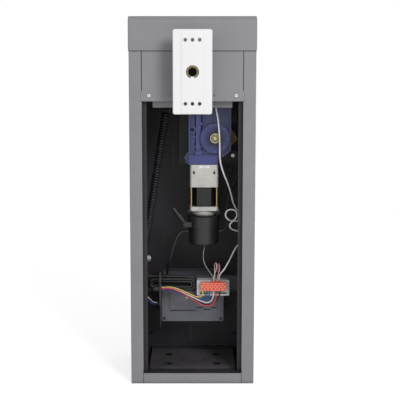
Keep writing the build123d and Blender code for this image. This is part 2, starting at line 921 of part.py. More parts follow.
plate_back = -boom_reach + plate_thickness
with BuildPart() as boom_plate:
    with BuildSketch(front_plane(plate_back)):
        with Locations((0, shaft_z)):
            RectangleRounded(plate_width, plate_height, plate_corner)
    extrude(amount=plate_thickness - plate_band_step)
    chamfer(boom_plate.faces().sort_by(Axis.Y)[0].edges(), plate_edge)
    # raised centre band of the extruded profile
    with BuildSketch(front_plane(-boom_reach + plate_band_step)):
        with Locations((0, shaft_z)):
            Rectangle(plate_band, plate_height - 2 * plate_edge)
    extrude(amount=plate_band_step)
    with BuildSketch(front_plane(plate_back)):
        with Locations((0, shaft_z)):
            Circle(shaft_diameter / 2)
            with GridLocations(boom_hole_pitch, boom_row_spacing, boom_hole_columns, 2):
                Circle(boom_hole / 2)
    extrude(amount=plate_thickness + overrun, mode=Mode.SUBTRACT)
    add(shaft_keys.part, mode=Mode.SUBTRACT)
boom_plate.part.label = "boom_plate"
export_step(boom_plate.part, "parts/boom_plate.step")

hub_end = plate_back + hub_flange_thickness + hub_length
with BuildPart() as boom_hub:
    with BuildSketch(front_plane(plate_back + hub_flange_thickness)):
        with Locations((0, shaft_z)):
            Circle(hub_flange / 2)
    extrude(amount=hub_flange_thickness)
    with BuildSketch(front_plane(hub_end)):
        with Locations((0, shaft_z)):
            Circle(hub_barrel / 2)
    extrude(amount=hub_length)
    with BuildSketch(front_plane(hub_end)):
        with Locations((0, shaft_z)):
            Circle(shaft_diameter / 2)
    extrude(amount=hub_end - plate_back, mode=Mode.SUBTRACT)
    add(shaft_keys.part, mode=Mode.SUBTRACT)
boom_hub.part.label = "boom_hub"
export_step(boom_hub.part, "parts/boom_hub.step")


def lever_arm(start, end, half_start, half_end):
    """Tapered arm outline between two round ends, on the current sketch."""
    with Locations(start):
        Circle(half_start)
    with Locations(end):
        Circle(half_end)
    make_hull()


slot_inner = spring_pin_radius_mid
slot_outer = spring_pin_radius_rest
lever_end_radius = spring_slot_width / 2 + spring_slot_wall
with BuildPart() as spring_lever:
    with BuildSketch(front_plane(spring_lever_end)):
        lever_arm(
            (0, shaft_z),
            polar(0, shaft_z, slot_outer, spring_lever_angle),
            lever_hub / 2,
            lever_end_radius,
        )
    extrude(amount=lever_thickness)
    with BuildSketch(front_plane(spring_lever_end + lever_thickness / 2)):
        with Locations((0, shaft_z)):
            Circle(lever_hub / 2)
    extrude(amount=2 * lever_thickness)
    slot_plane = Plane(
        origin=(0, at_depth(spring_lever_end), shaft_z),
        x_dir=(cos(radians(spring_lever_angle)), 0, sin(radians(spring_lever_angle))),
        z_dir=(0, -1, 0),
    )
    with BuildSketch(slot_plane):
        with Locations(((slot_inner + slot_outer) / 2, 0)):
            SlotCenterToCenter(slot_outer - slot_inner + fit, spring_slot_width)
    extrude(amount=lever_thickness, mode=Mode.SUBTRACT)
    with BuildSketch(front_plane(spring_lever_end + lever_thickness)):
        with Locations((0, shaft_z)):
            Circle(shaft_diameter / 2)
    extrude(amount=3 * lever_thickness, mode=Mode.SUBTRACT)
    add(shaft_keys.part, mode=Mode.SUBTRACT)
spring_lever.part.label = "spring_lever"
export_step(spring_lever.part, "parts/spring_lever.step")

lever_pin_place = polar(0, shaft_z, link_radius, link_rest_angle)
crank_pin_place = polar(drive_x, drive_z, link_radius, link_rest_angle)
pin_end_depth = rod_depth + rod_thickness + fit
with BuildPart() as link_lever:
    with BuildSketch(front_plane(link_lever_end)):
        lever_arm((0, shaft_z), lever_pin_place, lever_hub / 2, link_eye_radius)
        with Locations((0, shaft_z)):
            Circle(shaft_diameter / 2, mode=Mode.SUBTRACT)
    extrude(amount=lever_thickness)
    # link pin with its retaining head
    with BuildSketch(front_plane(link_lever_end)):
        with Locations(lever_pin_place):
            Circle(link_pin_diameter / 2)
    extrude(amount=-(pin_end_depth - link_lever_end))
    with BuildSketch(front_plane(pin_end_depth)):
        with Locations(lever_pin_place):
            Circle(link_pin_diameter / 2 + pin_head_thickness)
    extrude(amount=-pin_head_thickness)
    add(shaft_keys.part, mode=Mode.SUBTRACT)
link_lever.part.label = "link_lever"
export_step(link_lever.part, "parts/link_lever.step")


# Crank body: output shaft, worm wheel sleeve, limit cam and crank
crank_closed_place = polar(drive_x, drive_z, link_radius, link_rest_angle - boom_travel)
stop_distance = hypot(
    low_buffer[0] - crank_closed_place[0], low_buffer[1] - crank_closed_place[1]
)
crank_eye_radius = stop_distance - buffer_radius - fit
with BuildPart() as crank_arm:
    with BuildSketch(front_plane(link_lever_end)):
        lever_arm((drive_x, drive_z), crank_pin_place, cam_hub_radius, crank_eye_radius)
        with Locations((drive_x, drive_z)):
            Circle(sleeve_inner / 2, mode=Mode.SUBTRACT)
    extrude(amount=lever_thickness)
    with BuildSketch(front_plane(link_lever_end)):
        with Locations(crank_pin_place):
            Circle(link_pin_diameter / 2)
    extrude(amount=-(pin_end_depth - link_lever_end))
    with BuildSketch(front_plane(pin_end_depth)):
        with Locations(crank_pin_place):
            Circle(link_pin_diameter / 2 + pin_head_thickness)
    extrude(amount=-pin_head_thickness)
crank_arm.part.label = "crank_arm"
export_step(crank_arm.part, "parts/crank_arm.step")

with BuildPart() as output_shaft:
    with BuildSketch(front_plane(output_shaft_end)):
        with Locations((drive_x, drive_z)):
            Circle(sleeve_inner / 2)
    extrude(amount=output_shaft_end - output_shaft_front)
    chamfer(output_shaft.edges().filter_by(GeomType.CIRCLE), shaft_recess)
output_shaft.part.label = "output_shaft"
export_step(output_shaft.part, "parts/output_shaft.step")

with BuildPart() as output_sleeve:
    with BuildSketch(front_plane(gearbox_plate_depth)):
        with Locations((drive_x, drive_z)):
            Circle(sleeve_outer / 2)
            Circle(sleeve_inner / 2, mode=Mode.SUBTRACT)
    extrude(amount=gearbox_plate_depth - sleeve_front)
output_sleeve.part.label = "output_sleeve"
export_step(output_sleeve.part, "parts/output_sleeve.step")

cam_tip = polar(drive_x, drive_z, cam_tip_radius, cam_tip_angle)
cam_upper = polar(drive_x, drive_z, cam_upper_radius, cam_upper_angle)
cam_lower = polar(drive_x, drive_z, cam_lower_radius, cam_lower_angle)
with BuildPart() as limit_cam:
    with BuildSketch(front_plane(cam_depth + cam_thickness)):
        with Locations((drive_x, drive_z)):
            Circle(cam_hub_radius)
        with BuildLine():
            Polyline((drive_x, drive_z), cam_upper, cam_tip, cam_lower, close=True)
        make_face()
        make_hull()
        with Locations((drive_x, drive_z)):
            Circle(sleeve_inner / 2, mode=Mode.SUBTRACT)
    extrude(amount=cam_thickness)
limit_cam.part.label = "limit_cam"
export_step(limit_cam.part, "parts/limit_cam.step")


# Connecting rod: threaded bar between two rod ends, locked by nuts
rod_angle = degrees(atan2(shaft_z - drive_z, -drive_x))
rod_length = hypot(drive_x, shaft_z - drive_z)
rod_middle = rod_depth + rod_thickness / 2
rod_plane = Plane(
    origin=(crank_pin_place[0], at_depth(rod_middle), crank_pin_place[1]),
    x_dir=(cos(radians(rod_angle)), 0, sin(radians(rod_angle))),
    z_dir=(0, -1, 0),
)
with BuildPart() as connecting_rod:
    for start, clearance in ((0, running_fit), (rod_length, open_pivot_clearance)):
        inward = 1 if start == 0 else -1
        with BuildSketch(rod_plane.offset(-rod_thickness / 2)):
            with Locations((start, 0)):
                Circle(rod_eye_radius)
            with Locations((start + inward * rod_socket_length / 2, 0)):
                Rectangle(rod_socket_length, rod_socket_width)
            with Locations((start, 0)):
                Circle(link_pin_diameter / 2 + clearance, mode=Mode.SUBTRACT)
        extrude(amount=rod_thickness)
    bar_start = rod_socket_length - overrun
    bar_plane = Plane(
        origin=rod_plane.from_local_coords((bar_start, 0, 0)),
        x_dir=(0, 1, 0),
        z_dir=rod_plane.x_dir,
    )
    with BuildSketch(bar_plane):
        Circle(rod_bar / 2)
    extrude(amount=rod_length - 2 * bar_start)
    for along in (overrun, rod_length - 2 * bar_start - overrun - rod_nut_length):
        with BuildSketch(bar_plane.offset(along)):
            RegularPolygon(rod_nut / 2, 6)
        extrude(amount=rod_nut_length)
connecting_rod.part.label = "connecting_rod"
export_step(connecting_rod.part, "parts/connecting_rod.step")


# Gearbox plate, its spacers to the rear frame plate, stops and limit switch
high_buffer_place = polar(drive_x, drive_z, buffer_orbit, 2 * link_rest_angle - boom_travel - buffer_angle)
with BuildPart() as gearbox_plate:
    with BuildSketch(front_plane(gearbox_plate_back)):
        with BuildLine():
            Polyline(
                (gearbox_plate_left, gearbox_plate_bottom),
                (gearbox_plate_right, gearbox_plate_bottom),
                (gearbox_plate_right, gearbox_plate_ear_z),
                (gearbox_plate_ear_x, gearbox_plate_ear_z),
                (gearbox_plate_ear_x, gearbox_plate_top),
                (gearbox_plate_left, gearbox_plate_top),
                close=True,
            )
        make_face()
        with Locations((drive_x, drive_z)):
            Circle(sleeve_outer / 2 + fit, mode=Mode.SUBTRACT)
        with Locations(*spacer_places):
            Circle(bolt_shank / 2 + running_fit, mode=Mode.SUBTRACT)
        with Locations(high_buffer_place):
            Circle(small_bolt_shank / 2 + running_fit, mode=Mode.SUBTRACT)
    extrude(amount=gearbox_plate_thickness)
gearbox_plate.part.label = "gearbox_plate"
export_step(gearbox_plate.part, "parts/gearbox_plate.step")

with BuildPart() as plate_spacers:
    for x, z in spacer_places:
        with BuildSketch(front_plane(rear_frame_depth)):
            with Locations((x, z)):
                Circle(spacer_diameter / 2)
        extrude(amount=rear_frame_depth - gearbox_plate_back)
        bolt(
            facing(x, gearbox_plate_depth, z),
            bolt_shank,
            bolt_head,
            bolt_head_height / 2,
            rear_frame_depth + frame_sheet + bolt_head_height - gearbox_plate_depth,
        )
plate_spacers.part.label = "plate_spacers"
export_step(plate_spacers.part, "parts/plate_spacers.step")

high_buffer_end = gearbox_plate_back + buffer_length
with BuildPart() as stop_buffers:
    for place, start, end in (
        (low_buffer, buffer_depth, rear_frame_depth),
        (high_buffer_place, gearbox_plate_back, high_buffer_end),
    ):
        with BuildSketch(front_plane(end)):
            with Locations(place):
                Circle(buffer_radius)
                Circle(small_bolt_shank / 2, mode=Mode.SUBTRACT)
        extrude(amount=end - start)
stop_buffers.part.label = "stop_buffers"
export_step(stop_buffers.part, "parts/stop_buffers.step")

with BuildPart() as buffer_screws:
    for place, head_depth, end in (
        (low_buffer, buffer_depth, rear_frame_depth + frame_sheet + small_bolt_head_height),
        (high_buffer_place, gearbox_plate_depth, high_buffer_end - buffer_bolt_head_height),
    ):
        with BuildSketch(front_plane(end)):
            with Locations(place):
                Circle(small_bolt_shank / 2)
        extrude(amount=end - head_depth)
        with BuildSketch(front_plane(head_depth)):
            with Locations(place):
                Circle(buffer_bolt_head_radius)
        extrude(amount=buffer_bolt_head_height)
buffer_screws.part.label = "buffer_screws"
export_step(buffer_screws.part, "parts/buffer_screws.step")

flank = Vector(cam_tip[0] - cam_upper[0], cam_tip[1] - cam_upper[1])
flank_length = flank.length
flank_angle = degrees(atan2(flank.Y, flank.X))
leaf_offset = switch_leaf_gap
switch_centre = (switch_left + switch_width / 2, switch_bottom + switch_height / 2)
leaf_start = polar(*cam_upper, leaf_offset, flank_angle + 90)
leaf_bend = polar(*leaf_start, flank_length / 2, flank_angle)
leaf_end = polar(*leaf_start, flank_length - leaf_offset, flank_angle)
with BuildPart() as limit_switch:
    with BuildSketch(front_plane(gearbox_plate_back + switch_thickness)):
        with Locations(switch_centre):
            RectangleRounded(switch_width, switch_height, bend_radius)
    extrude(amount=switch_thickness)
    leaf_top = (leaf_bend[0], switch_bottom + overrun)
    with BuildSketch(front_plane(cam_depth + switch_leaf_width)):
        with BuildLine():
            Polyline(leaf_top, leaf_bend, leaf_end)
            offset(amount=switch_leaf_thickness, side=Side.LEFT)
        make_face()
    extrude(amount=switch_leaf_width)
limit_switch.part.label = "limit_switch"
export_step(limit_switch.part, "parts/limit_switch.step")


# Worm gearbox: ribbed casting with its foot flange, worm column, wheel boss and side lug
foot_top = gearbox_bottom + gearbox_foot_height
lug_top = gearbox_lug_bottom + gearbox_lug_height
gearbox_outline = [
    (gearbox_left, foot_top),
    (gearbox_right - gearbox_chamfer, foot_top),
    (gearbox_right, gearbox_shoulder_z),
    (gearbox_right, gearbox_top),
    (gearbox_left, gearbox_top),
]
column_middle = column_left + column_width / 2
web_front = gearbox_front + gearbox_web
rib_xs = [column_left + column_width * step for step in (0, 2, 7)]
rib_zs = [drive_z - gearbox_boss_radius / 2, drive_z + gearbox_rib]
with BuildPart() as gearbox_housing:
    with BuildSketch(front_plane(gearbox_back)):
        with BuildLine():
            Polyline(*gearbox_outline, close=True)
        make_face()
    extrude(amount=gearbox_back - web_front)
    # rim round the casting's face
    with BuildSketch(front_plane(web_front)) as rim:
        with BuildLine():
            Polyline(*gearbox_outline, close=True)
        make_face()
        offset(rim.sketch, amount=-gearbox_rim, kind=Kind.INTERSECTION, mode=Mode.SUBTRACT)
    extrude(amount=gearbox_web)
    # foot flange towards the motor
    with BuildSketch(front_plane(gearbox_back)):
        with Locations(((gearbox_left + gearbox_foot_right) / 2, (gearbox_bottom + foot_top) / 2)):
            Rectangle(gearbox_foot_right - gearbox_left, gearbox_foot_height)
    extrude(amount=gearbox_depth)
    # half hexagon lug beside the foot
    with BuildSketch(front_plane(gearbox_back)):
        with BuildLine():
            Polyline(
                (gearbox_left, gearbox_bottom),
                (gearbox_left - gearbox_lug_reach * gearbox_lug_lower_share, gearbox_lug_bottom),
                (gearbox_left - gearbox_lug_reach, (gearbox_lug_bottom + lug_top) / 2),
                (gearbox_left - gearbox_lug_reach * gearbox_lug_upper_share, lug_top - gearbox_rim),
                (gearbox_left, lug_top),
                close=True,
            )
        make_face()
    extrude(amount=gearbox_depth - 2 * gearbox_web)
    # wheel boss and worm column
    with BuildSketch(front_plane(web_front)):
        with Locations((drive_x, drive_z)):
            Circle(gearbox_boss_radius - gearbox_rim)
    extrude(amount=gearbox_web)
    with BuildSketch(plan_plane(foot_top)):
        with Locations((column_middle, at_depth(web_front))):
            Ellipse(column_width, column_rise)
    extrude(amount=gearbox_top - foot_top)
    # cast ribs
    with BuildSketch(front_plane(web_front)):
        for rib_x in rib_xs:
            with Locations((rib_x, (foot_top + gearbox_top) / 2)):
                Rectangle(gearbox_rib, gearbox_top - foot_top)
        for rib_z in rib_zs:
            with Locations(((gearbox_left + drive_x) / 2, rib_z)):
                Rectangle(drive_x - gearbox_left, gearbox_rib)
        with Locations((drive_x, (drive_z + gearbox_top) / 2)):
            Rectangle(gearbox_rib, gearbox_top - drive_z)
        with Locations((drive_x, (drive_z + foot_top) / 2)):
            Rectangle(gearbox_rib, drive_z - foot_top)
    extrude(amount=gearbox_web * rib_height_share)
    # round seat that stands against the gearbox plate
    with BuildSketch(front_plane(gearbox_plate_depth)):
        with Locations((drive_x, drive_z)):
            Circle(gearbox_boss_radius - gearbox_rim)
    extrude(amount=gearbox_seat_height)
    # pocket for the cover and the bore for the hollow shaft
    with BuildSketch(front_plane(gearbox_front + cover_recess)):
        with Locations((drive_x, drive_z)):
            Circle(cover_radius - gearbox_rim / 2)
    extrude(amount=gearbox_web, mode=Mode.SUBTRACT)
    with BuildSketch(front_plane(gearbox_plate_depth)):
        with Locations((drive_x, drive_z)):
            Circle(sleeve_outer / 2 + running_fit)
    extrude(amount=gearbox_plate_depth - gearbox_front, mode=Mode.SUBTRACT)
    # mounting boss on the left rim
    with BuildSketch(front_plane(web_front)):
        with Locations((mounting_hole_x, mounting_hole_z)):
            Circle(mounting_boss_radius)
    extrude(amount=gearbox_web)
    with Locations(facing(mounting_hole_x, gearbox_front, mounting_hole_z)):
        Hole(mounting_hole / 2, depth=gearbox_depth / 2)
gearbox_housing.part.label = "gearbox_housing"
export_step(gearbox_housing.part, "parts/gearbox_housing.step")

cover_back = gearbox_front + cover_recess
cover_front = cover_back - cover_thickness
with BuildPart() as gearbox_cover:
    with BuildSketch(front_plane(cover_back)):
        with Locations((drive_x, drive_z)):
            Circle(cover_radius - gearbox_rim / 2 - running_fit)
    extrude(amount=cover_recess)
    with BuildSketch(front_plane(gearbox_front)):
        with Locations((drive_x, drive_z)):
            Circle(cover_radius)
    extrude(amount=cover_thickness - cover_recess)
    with BuildSketch(front_plane(cover_back)):
        with Locations((drive_x, drive_z)):
            Circle(seal_radius)
    extrude(amount=cover_thickness, mode=Mode.SUBTRACT)
    # stepped face inside the bolt circle
    with BuildSketch(front_plane(cover_front)):
        with Locations((drive_x, drive_z)):
            Circle(cover_inner_radius + cover_recess)
    extrude(amount=-cover_recess / 2, mode=Mode.SUBTRACT)
    with BuildSketch(front_plane(cover_front)):
        with Locations((drive_x, drive_z)):
            with PolarLocations(cover_bolt_orbit, cover_bolts):
                Circle(panel_hole / 2)
    extrude(amount=-cover_thickness, mode=Mode.SUBTRACT)
    chamfer(gearbox_cover.faces().sort_by(Axis.Y)[0].edges().sort_by(SortBy.LENGTH)[-1], cover_recess / 2)
gearbox_cover.part.label = "gearbox_cover"
export_step(gearbox_cover.part, "parts/gearbox_cover.step")

with BuildPart() as gearbox_screws:
    with BuildSketch(front_plane(cover_front)):
        with Locations((drive_x, drive_z)):
            with PolarLocations(cover_bolt_orbit, cover_bolts):
                Circle(panel_hole)
    extrude(amount=panel_hole)
    with BuildSketch(front_plane(cover_back)):
        with Locations((drive_x, drive_z)):
            with PolarLocations(cover_bolt_orbit, cover_bolts):
                Circle(panel_hole / 2)
    extrude(amount=cover_thickness)
    with BuildSketch(front_plane(cover_front - panel_hole)):
        with Locations((drive_x, drive_z)):
            with PolarLocations(cover_bolt_orbit, cover_bolts):
                RegularPolygon(panel_hole / 2, 6)
    extrude(amount=-panel_hole / 2, mode=Mode.SUBTRACT)
gearbox_screws.part.label = "gearbox_screws"
export_step(gearbox_screws.part, "parts/gearbox_screws.step")

with BuildPart() as output_seal:
    with BuildSketch(front_plane(cover_back)):
        with Locations((drive_x, drive_z)):
            Circle(seal_radius)
            Circle(seal_inner_radius + running_fit, mode=Mode.SUBTRACT)
    extrude(amount=seal_thickness)
    with BuildSketch(front_plane(cover_back - seal_thickness)):
        with Locations((drive_x, drive_z)):
            Circle(seal_radius - cover_recess)
            Circle(seal_inner_radius + 2 * cover_recess, mode=Mode.SUBTRACT)
    extrude(amount=-cover_recess, mode=Mode.SUBTRACT)
output_seal.part.label = "output_seal"
export_step(output_seal.part, "parts/output_seal.step")


# Gearmotor hanging under the gearbox: gearhead, motor, end bell, tie rods and brake cover
motor_y = at_depth(motor_depth)


def motor_plane(height):
    return Plane(origin=(motor_x, motor_y, height), x_dir=(1, 0, 0), z_dir=(0, 0, 1))


with BuildPart() as motor_gearhead:
    with BuildSketch(motor_plane(gearhead_bottom)):
        RectangleRounded(gearhead_side, gearhead_side, gearhead_corner)
    extrude(amount=gearhead_top - gearhead_bottom)
    # access notches for the four flange screws
    with BuildSketch(motor_plane(gearhead_notch_z)):
        for quarter in range(4):
            with Locations(Rotation(0, 0, 90 * quarter)):
                for notch_side in (-1, 1):
                    with Locations((notch_side * gearhead_notch_share * gearhead_side, gearhead_side / 2)):
                        Rectangle(gearhead_notch, gearhead_notch)
    extrude(amount=gearhead_notch_height, mode=Mode.SUBTRACT)
motor_gearhead.part.label = "motor_gearhead"
export_step(motor_gearhead.part, "parts/motor_gearhead.step")

with BuildPart() as motor_body:
    with BuildSketch(motor_plane(motor_body_bottom)):
        Circle(motor_body_diameter / 2)
        # raised bands of the stamped shell
        for side in (-1, 1):
            for front in (-1, 1):
                with Locations((side * motor_rib_x, front * motor_rib_y)):
                    Rectangle(motor_rib_width, 2 * motor_rib_height)
    extrude(amount=gearhead_bottom - motor_body_bottom)
motor_body.part.label = "motor_body"
export_step(motor_body.part, "parts/motor_body.step")

with BuildPart() as motor_end_bell:
    with BuildSketch(motor_plane(motor_body_bottom - end_bell_plate)):
        RectangleRounded(gearhead_side, gearhead_side, gearhead_corner)
    extrude(amount=end_bell_plate)
    with BuildSketch(motor_plane(end_bell_bottom)):
        Circle(motor_body_diameter / 2)
    extrude(amount=motor_body_bottom - end_bell_plate - end_bell_bottom)
    fillet(motor_end_bell.faces().sort_by(Axis.Z)[0].edges(), end_bell_round)
motor_end_bell.part.label = "motor_end_bell"
export_step(motor_end_bell.part, "parts/motor_end_bell.step")

with BuildPart() as tie_rods:
    with BuildSketch(motor_plane(motor_body_bottom)):
        with GridLocations(tie_rod_spacing, tie_rod_spacing, 2, 2):
            Circle(tie_rod_diameter / 2)
    extrude(amount=gearhead_bottom - motor_body_bottom)
tie_rods.part.label = "tie_rods"
export_step(tie_rods.part, "parts/tie_rods.step")

cover_cup_top = motor_body_bottom - end_bell_plate
release_y = at_depth(release_depth)
release_arm = Vector(release_tip_x - release_pivot_x, 0, release_tip_z - release_pivot_z)
release_direction = release_arm.normalized()
ear_reach = release_root_diameter / 2 + release_ear
cut_left = (motor_x - brake_cover_upper, cover_cup_top + overrun)
cut_right = (motor_x + brake_cover_upper, cover_cup_top + overrun)
with BuildPart() as brake_cover:
    with BuildSketch(motor_plane(brake_cover_bottom)):
        Circle(brake_cover_lower / 2)
    extrude(amount=brake_cover_step_z - brake_cover_bottom)
    with BuildSketch(motor_plane(brake_cover_step_z)):
        Circle(brake_cover_upper / 2)
    extrude(amount=cover_cup_top - brake_cover_step_z)
    fillet(brake_cover.faces().sort_by(Axis.Z)[0].edges(), brake_cover_round)
    # cup that the end bell sits in, cut low at the front
    with BuildSketch(motor_plane(end_bell_bottom)):
        Circle(motor_body_diameter / 2 + fit)
    extrude(amount=cover_cup_top - end_bell_bottom, mode=Mode.SUBTRACT)
    with BuildSketch(front_plane(motor_depth)):
        with BuildLine():
            Line(cut_left, cut_right)
            ThreePointArc(cut_right, (motor_x, end_bell_bottom + fit), cut_left)
        make_face()
    extrude(amount=brake_cover_upper, mode=Mode.SUBTRACT)
    # ridge down the front with its screw
    ridge_top = end_bell_bottom - brake_cover_rim
    with BuildSketch(front_plane(motor_depth)):
        with Locations((motor_x - cover_ridge_x, (ridge_top + brake_cover_step_z) / 2)):
            Rectangle(cover_ridge_width, ridge_top - brake_cover_step_z)
    extrude(amount=brake_cover_upper / 2)
    # ears for the release lever
    for side in (-1, 1):
        ear_depth = release_depth + side * (release_ear_gap + release_ear) / 2
        with BuildSketch(front_plane(ear_depth + release_ear / 2)):
            with Locations((release_pivot_x, release_pivot_z)):
                Circle(ear_reach / 2)
            with Locations(((release_pivot_x + motor_x) / 2, release_pivot_z)):
                Rectangle(motor_x - release_pivot_x, ear_reach)
        extrude(amount=release_ear)
    with BuildSketch(front_plane(release_depth + release_ear_gap / 2)):
        with Locations((release_pivot_x, release_pivot_z)):
            Circle(release_root_diameter / 2 + fit)
    extrude(amount=release_ear_gap, mode=Mode.SUBTRACT)
    # pivot pin of the lever
    with BuildSketch(front_plane(release_depth + release_ear_gap / 2 + release_ear)):
        with Locations((release_pivot_x, release_pivot_z)):
            Circle(release_pin / 2)
    extrude(amount=release_ear_gap + 2 * release_ear)
brake_cover.part.label = "brake_cover"
export_step(brake_cover.part, "parts/brake_cover.step")

release_eye = release_ear_gap - 2 * fit
with BuildPart() as brake_release_lever:
    with BuildSketch(front_plane(release_depth + release_eye / 2)):
        with Locations((release_pivot_x, release_pivot_z)):
            Circle(release_root_diameter / 2)
    extrude(amount=release_eye)
    stem = Plane(origin=(release_pivot_x, release_y, release_pivot_z), x_dir=(0, 1, 0), z_dir=release_direction)
    with BuildSketch(stem.offset(release_pin)):
        Circle(release_eye / 2)
    with BuildSketch(stem.offset(release_root_length)):
        Circle(release_root_diameter / 2)
    loft()
    with BuildSketch(stem.offset(release_root_length)):
        Circle(release_root_diameter / 2)
    extrude(amount=release_ear)
    with BuildSketch(stem.offset(release_root_length)):
        Circle(release_grip_diameter / 2)
    extrude(amount=release_arm.length - release_root_length)
    fillet(
        brake_release_lever.edges().filter_by(GeomType.CIRCLE).sort_by(Axis.Z)[-1],
        release_grip_diameter / 4,
    )
    with BuildSketch(front_plane(release_depth + release_ear_gap)):
        with Locations((release_pivot_x, release_pivot_z)):
            Circle(release_pin / 2 + running_fit)
    extrude(amount=2 * release_ear_gap, mode=Mode.SUBTRACT)
brake_release_lever.part.label = "brake_release_lever"
export_step(brake_release_lever.part, "parts/brake_release_lever.step")


# Pin clamped at the outer end of the spring lever's slot, and the anchor bolt in the side wall
pin_front = spring_depth - spring_pin_clear - spring_pin_head_height
pin_back = spring_lever_end + fit
pin_collar_radius = (spring_slot_width + spring_pin_diameter) / 2
pin_discs = (
    (pin_front, spring_pin_head / 2, spring_pin_head_height),
    (spring_lever_depth - fit, pin_collar_radius, spring_pin_head_height / 2),
    (pin_back + spring_pin_head_height, pin_collar_radius, spring_pin_head_height),
)
with BuildPart() as spring_pin:
    with BuildSketch(front_plane(pin_back)):
        with Locations(spring_pin_rest):
            Circle(spring_pin_diameter / 2)
    extrude(amount=pin_back - pin_front)
    for disc_back, disc_radius, disc_length in pin_discs:
        with BuildSketch(front_plane(disc_back)):
            with Locations(spring_pin_rest):
                Circle(disc_radius)
        extrude(amount=disc_length)
spring_pin.part.label = "spring_pin"
export_step(spring_pin.part, "parts/spring_pin.step")

anchor_shank_start = Plane(
    origin=(-half_width, at_depth(spring_depth), spring_anchor_z), x_dir=(0, 1, 0), z_dir=(1, 0, 0)
)
with BuildPart() as spring_anchor_bolt:
    with BuildSketch(anchor_shank_start.offset(sheet + fit)):
        Rectangle(anchor_pad, anchor_pad)
    extrude(amount=anchor_pad_thickness)
    with BuildSketch(anchor_shank_start):
        Circle(anchor_bolt / 2)
    extrude(amount=anchor_bolt_inner_x + half_width)
    for nut_start in (
        sheet + fit + anchor_pad_thickness,
        anchor_bolt_inner_x + half_width - anchor_nut_length - anchor_pad_thickness / 2,
    ):
        with BuildSketch(anchor_shank_start.offset(nut_start)):
            RegularPolygon(anchor_nut / 2, 6)
        extrude(amount=anchor_nut_length)
spring_anchor_bolt.part.label = "spring_anchor_bolt"
export_step(spring_anchor_bolt.part, "parts/spring_anchor_bolt.step")


def biarc(start, start_tangent, end, end_tangent):
    """Two tangent arcs that join two points with the given directions, or a line where these agree."""
    chord = end - start
    bend = chord.cross(start_tangent).length + chord.cross(end_tangent).length
    if bend < chord.length * straight_tolerance:
        return [Edge.make_line(start, end)]
    both = start_tangent + end_tangent
    spread = 2 * (1 - start_tangent.dot(end_tangent))
    along = chord.dot(both)
    square = chord.dot(chord)
    if spread < straight_tolerance * straight_tolerance:
        reach = square / (2 * along)
    else:
        reach = (-2 * along + (4 * along * along + 4 * spread * square) ** 0.5) / (2 * spread)
    first = start + start_tangent * reach
    second = end - end_tangent * reach
    middle = (first + second) * 0.5
    middle_tangent = (second - first).normalized()
    return [
        Edge.make_tangent_arc(start, start_tangent, middle),
        Edge.make_tangent_arc(middle, middle_tangent, end),
    ]


def wound_path(stations):
    """One wire through the stations, each a point and its direction."""
    edges = []
    for (start, start_tangent), (end, end_tangent) in zip(stations, stations[1:]):
        edges += biarc(start, start_tangent.normalized(), end, end_tangent.normalized())
    return Wire(edges)


def least_self_gap(path, diameter, samples):
    """Smallest gap of a wound tube to itself, on points along it that are not near neighbours."""
    points = [path.position_at(i / samples) for i in range(samples + 1)]
    step = path.length / samples
    skip = ceil(pi * diameter / step)
    cells = {}
    for index, point in enumerate(points):
        key = tuple(int(value // (2 * diameter)) for value in (point.X, point.Y, point.Z))
        cells.setdefault(key, []).append(index)
    least = 4 * diameter
    for (i, j, k), members in cells.items():
        near = [
            other
            for di in (-1, 0, 1)
            for dj in (-1, 0, 1)
            for dk in (-1, 0, 1)
            for other in cells.get((i + di, j + dj, k + dk), [])
        ]
        for member in members:
            for other in near:
                if other - member > skip:
                    least = min(least, (points[member] - points[other]).length)
    return least - diameter


# Balance spring: one wire with a hook, the coils and a second hook turned by a quarter
spring_bottom = Vector(spring_anchor_x, at_depth(spring_depth), spring_anchor_z)
spring_top = Vector(spring_pin_rest[0], at_depth(spring_depth), spring_pin_rest[1])
spring_axis = (spring_top - spring_bottom).normalized()
spring_side = Vector(spring_axis.Z, 0, -spring_axis.X)
spring_rear = Vector(0, 1, 0)
pull_length = (spring_top - spring_bottom).length
coil_end = (spring_body_top_z - spring_anchor_z) / spring_axis.Z - spring_wire / 2
coil_start = coil_end - spring_body_length + spring_wire
coil_pitch = (coil_end - coil_start) / spring_coils
lower_hook = anchor_bolt / 2 + spring_wire / 2 + fit
thimble_bore = spring_pin_diameter / 2 + running_fit
upper_hook = thimble_bore + thimble_wall + spring_wire / 2 + fit


def spring_point(along, rear, side):
    return spring_bottom + spring_axis * along + spring_rear * rear + spring_side * side


def coil_station(quarter):
    """Point and direction of the coil after some quarter turns from the rear towards the right."""
    angle = quarter * pi / 2
    along = coil_start + coil_pitch * quarter / 4
    point = spring_point(along, spring_coil_radius * cos(angle), spring_coil_radius * sin(angle))
    turning = spring_rear * -sin(angle) + spring_side * cos(angle)
    climb = coil_pitch / (2 * pi * spring_coil_radius)
    return point, turning + spring_axis * climb


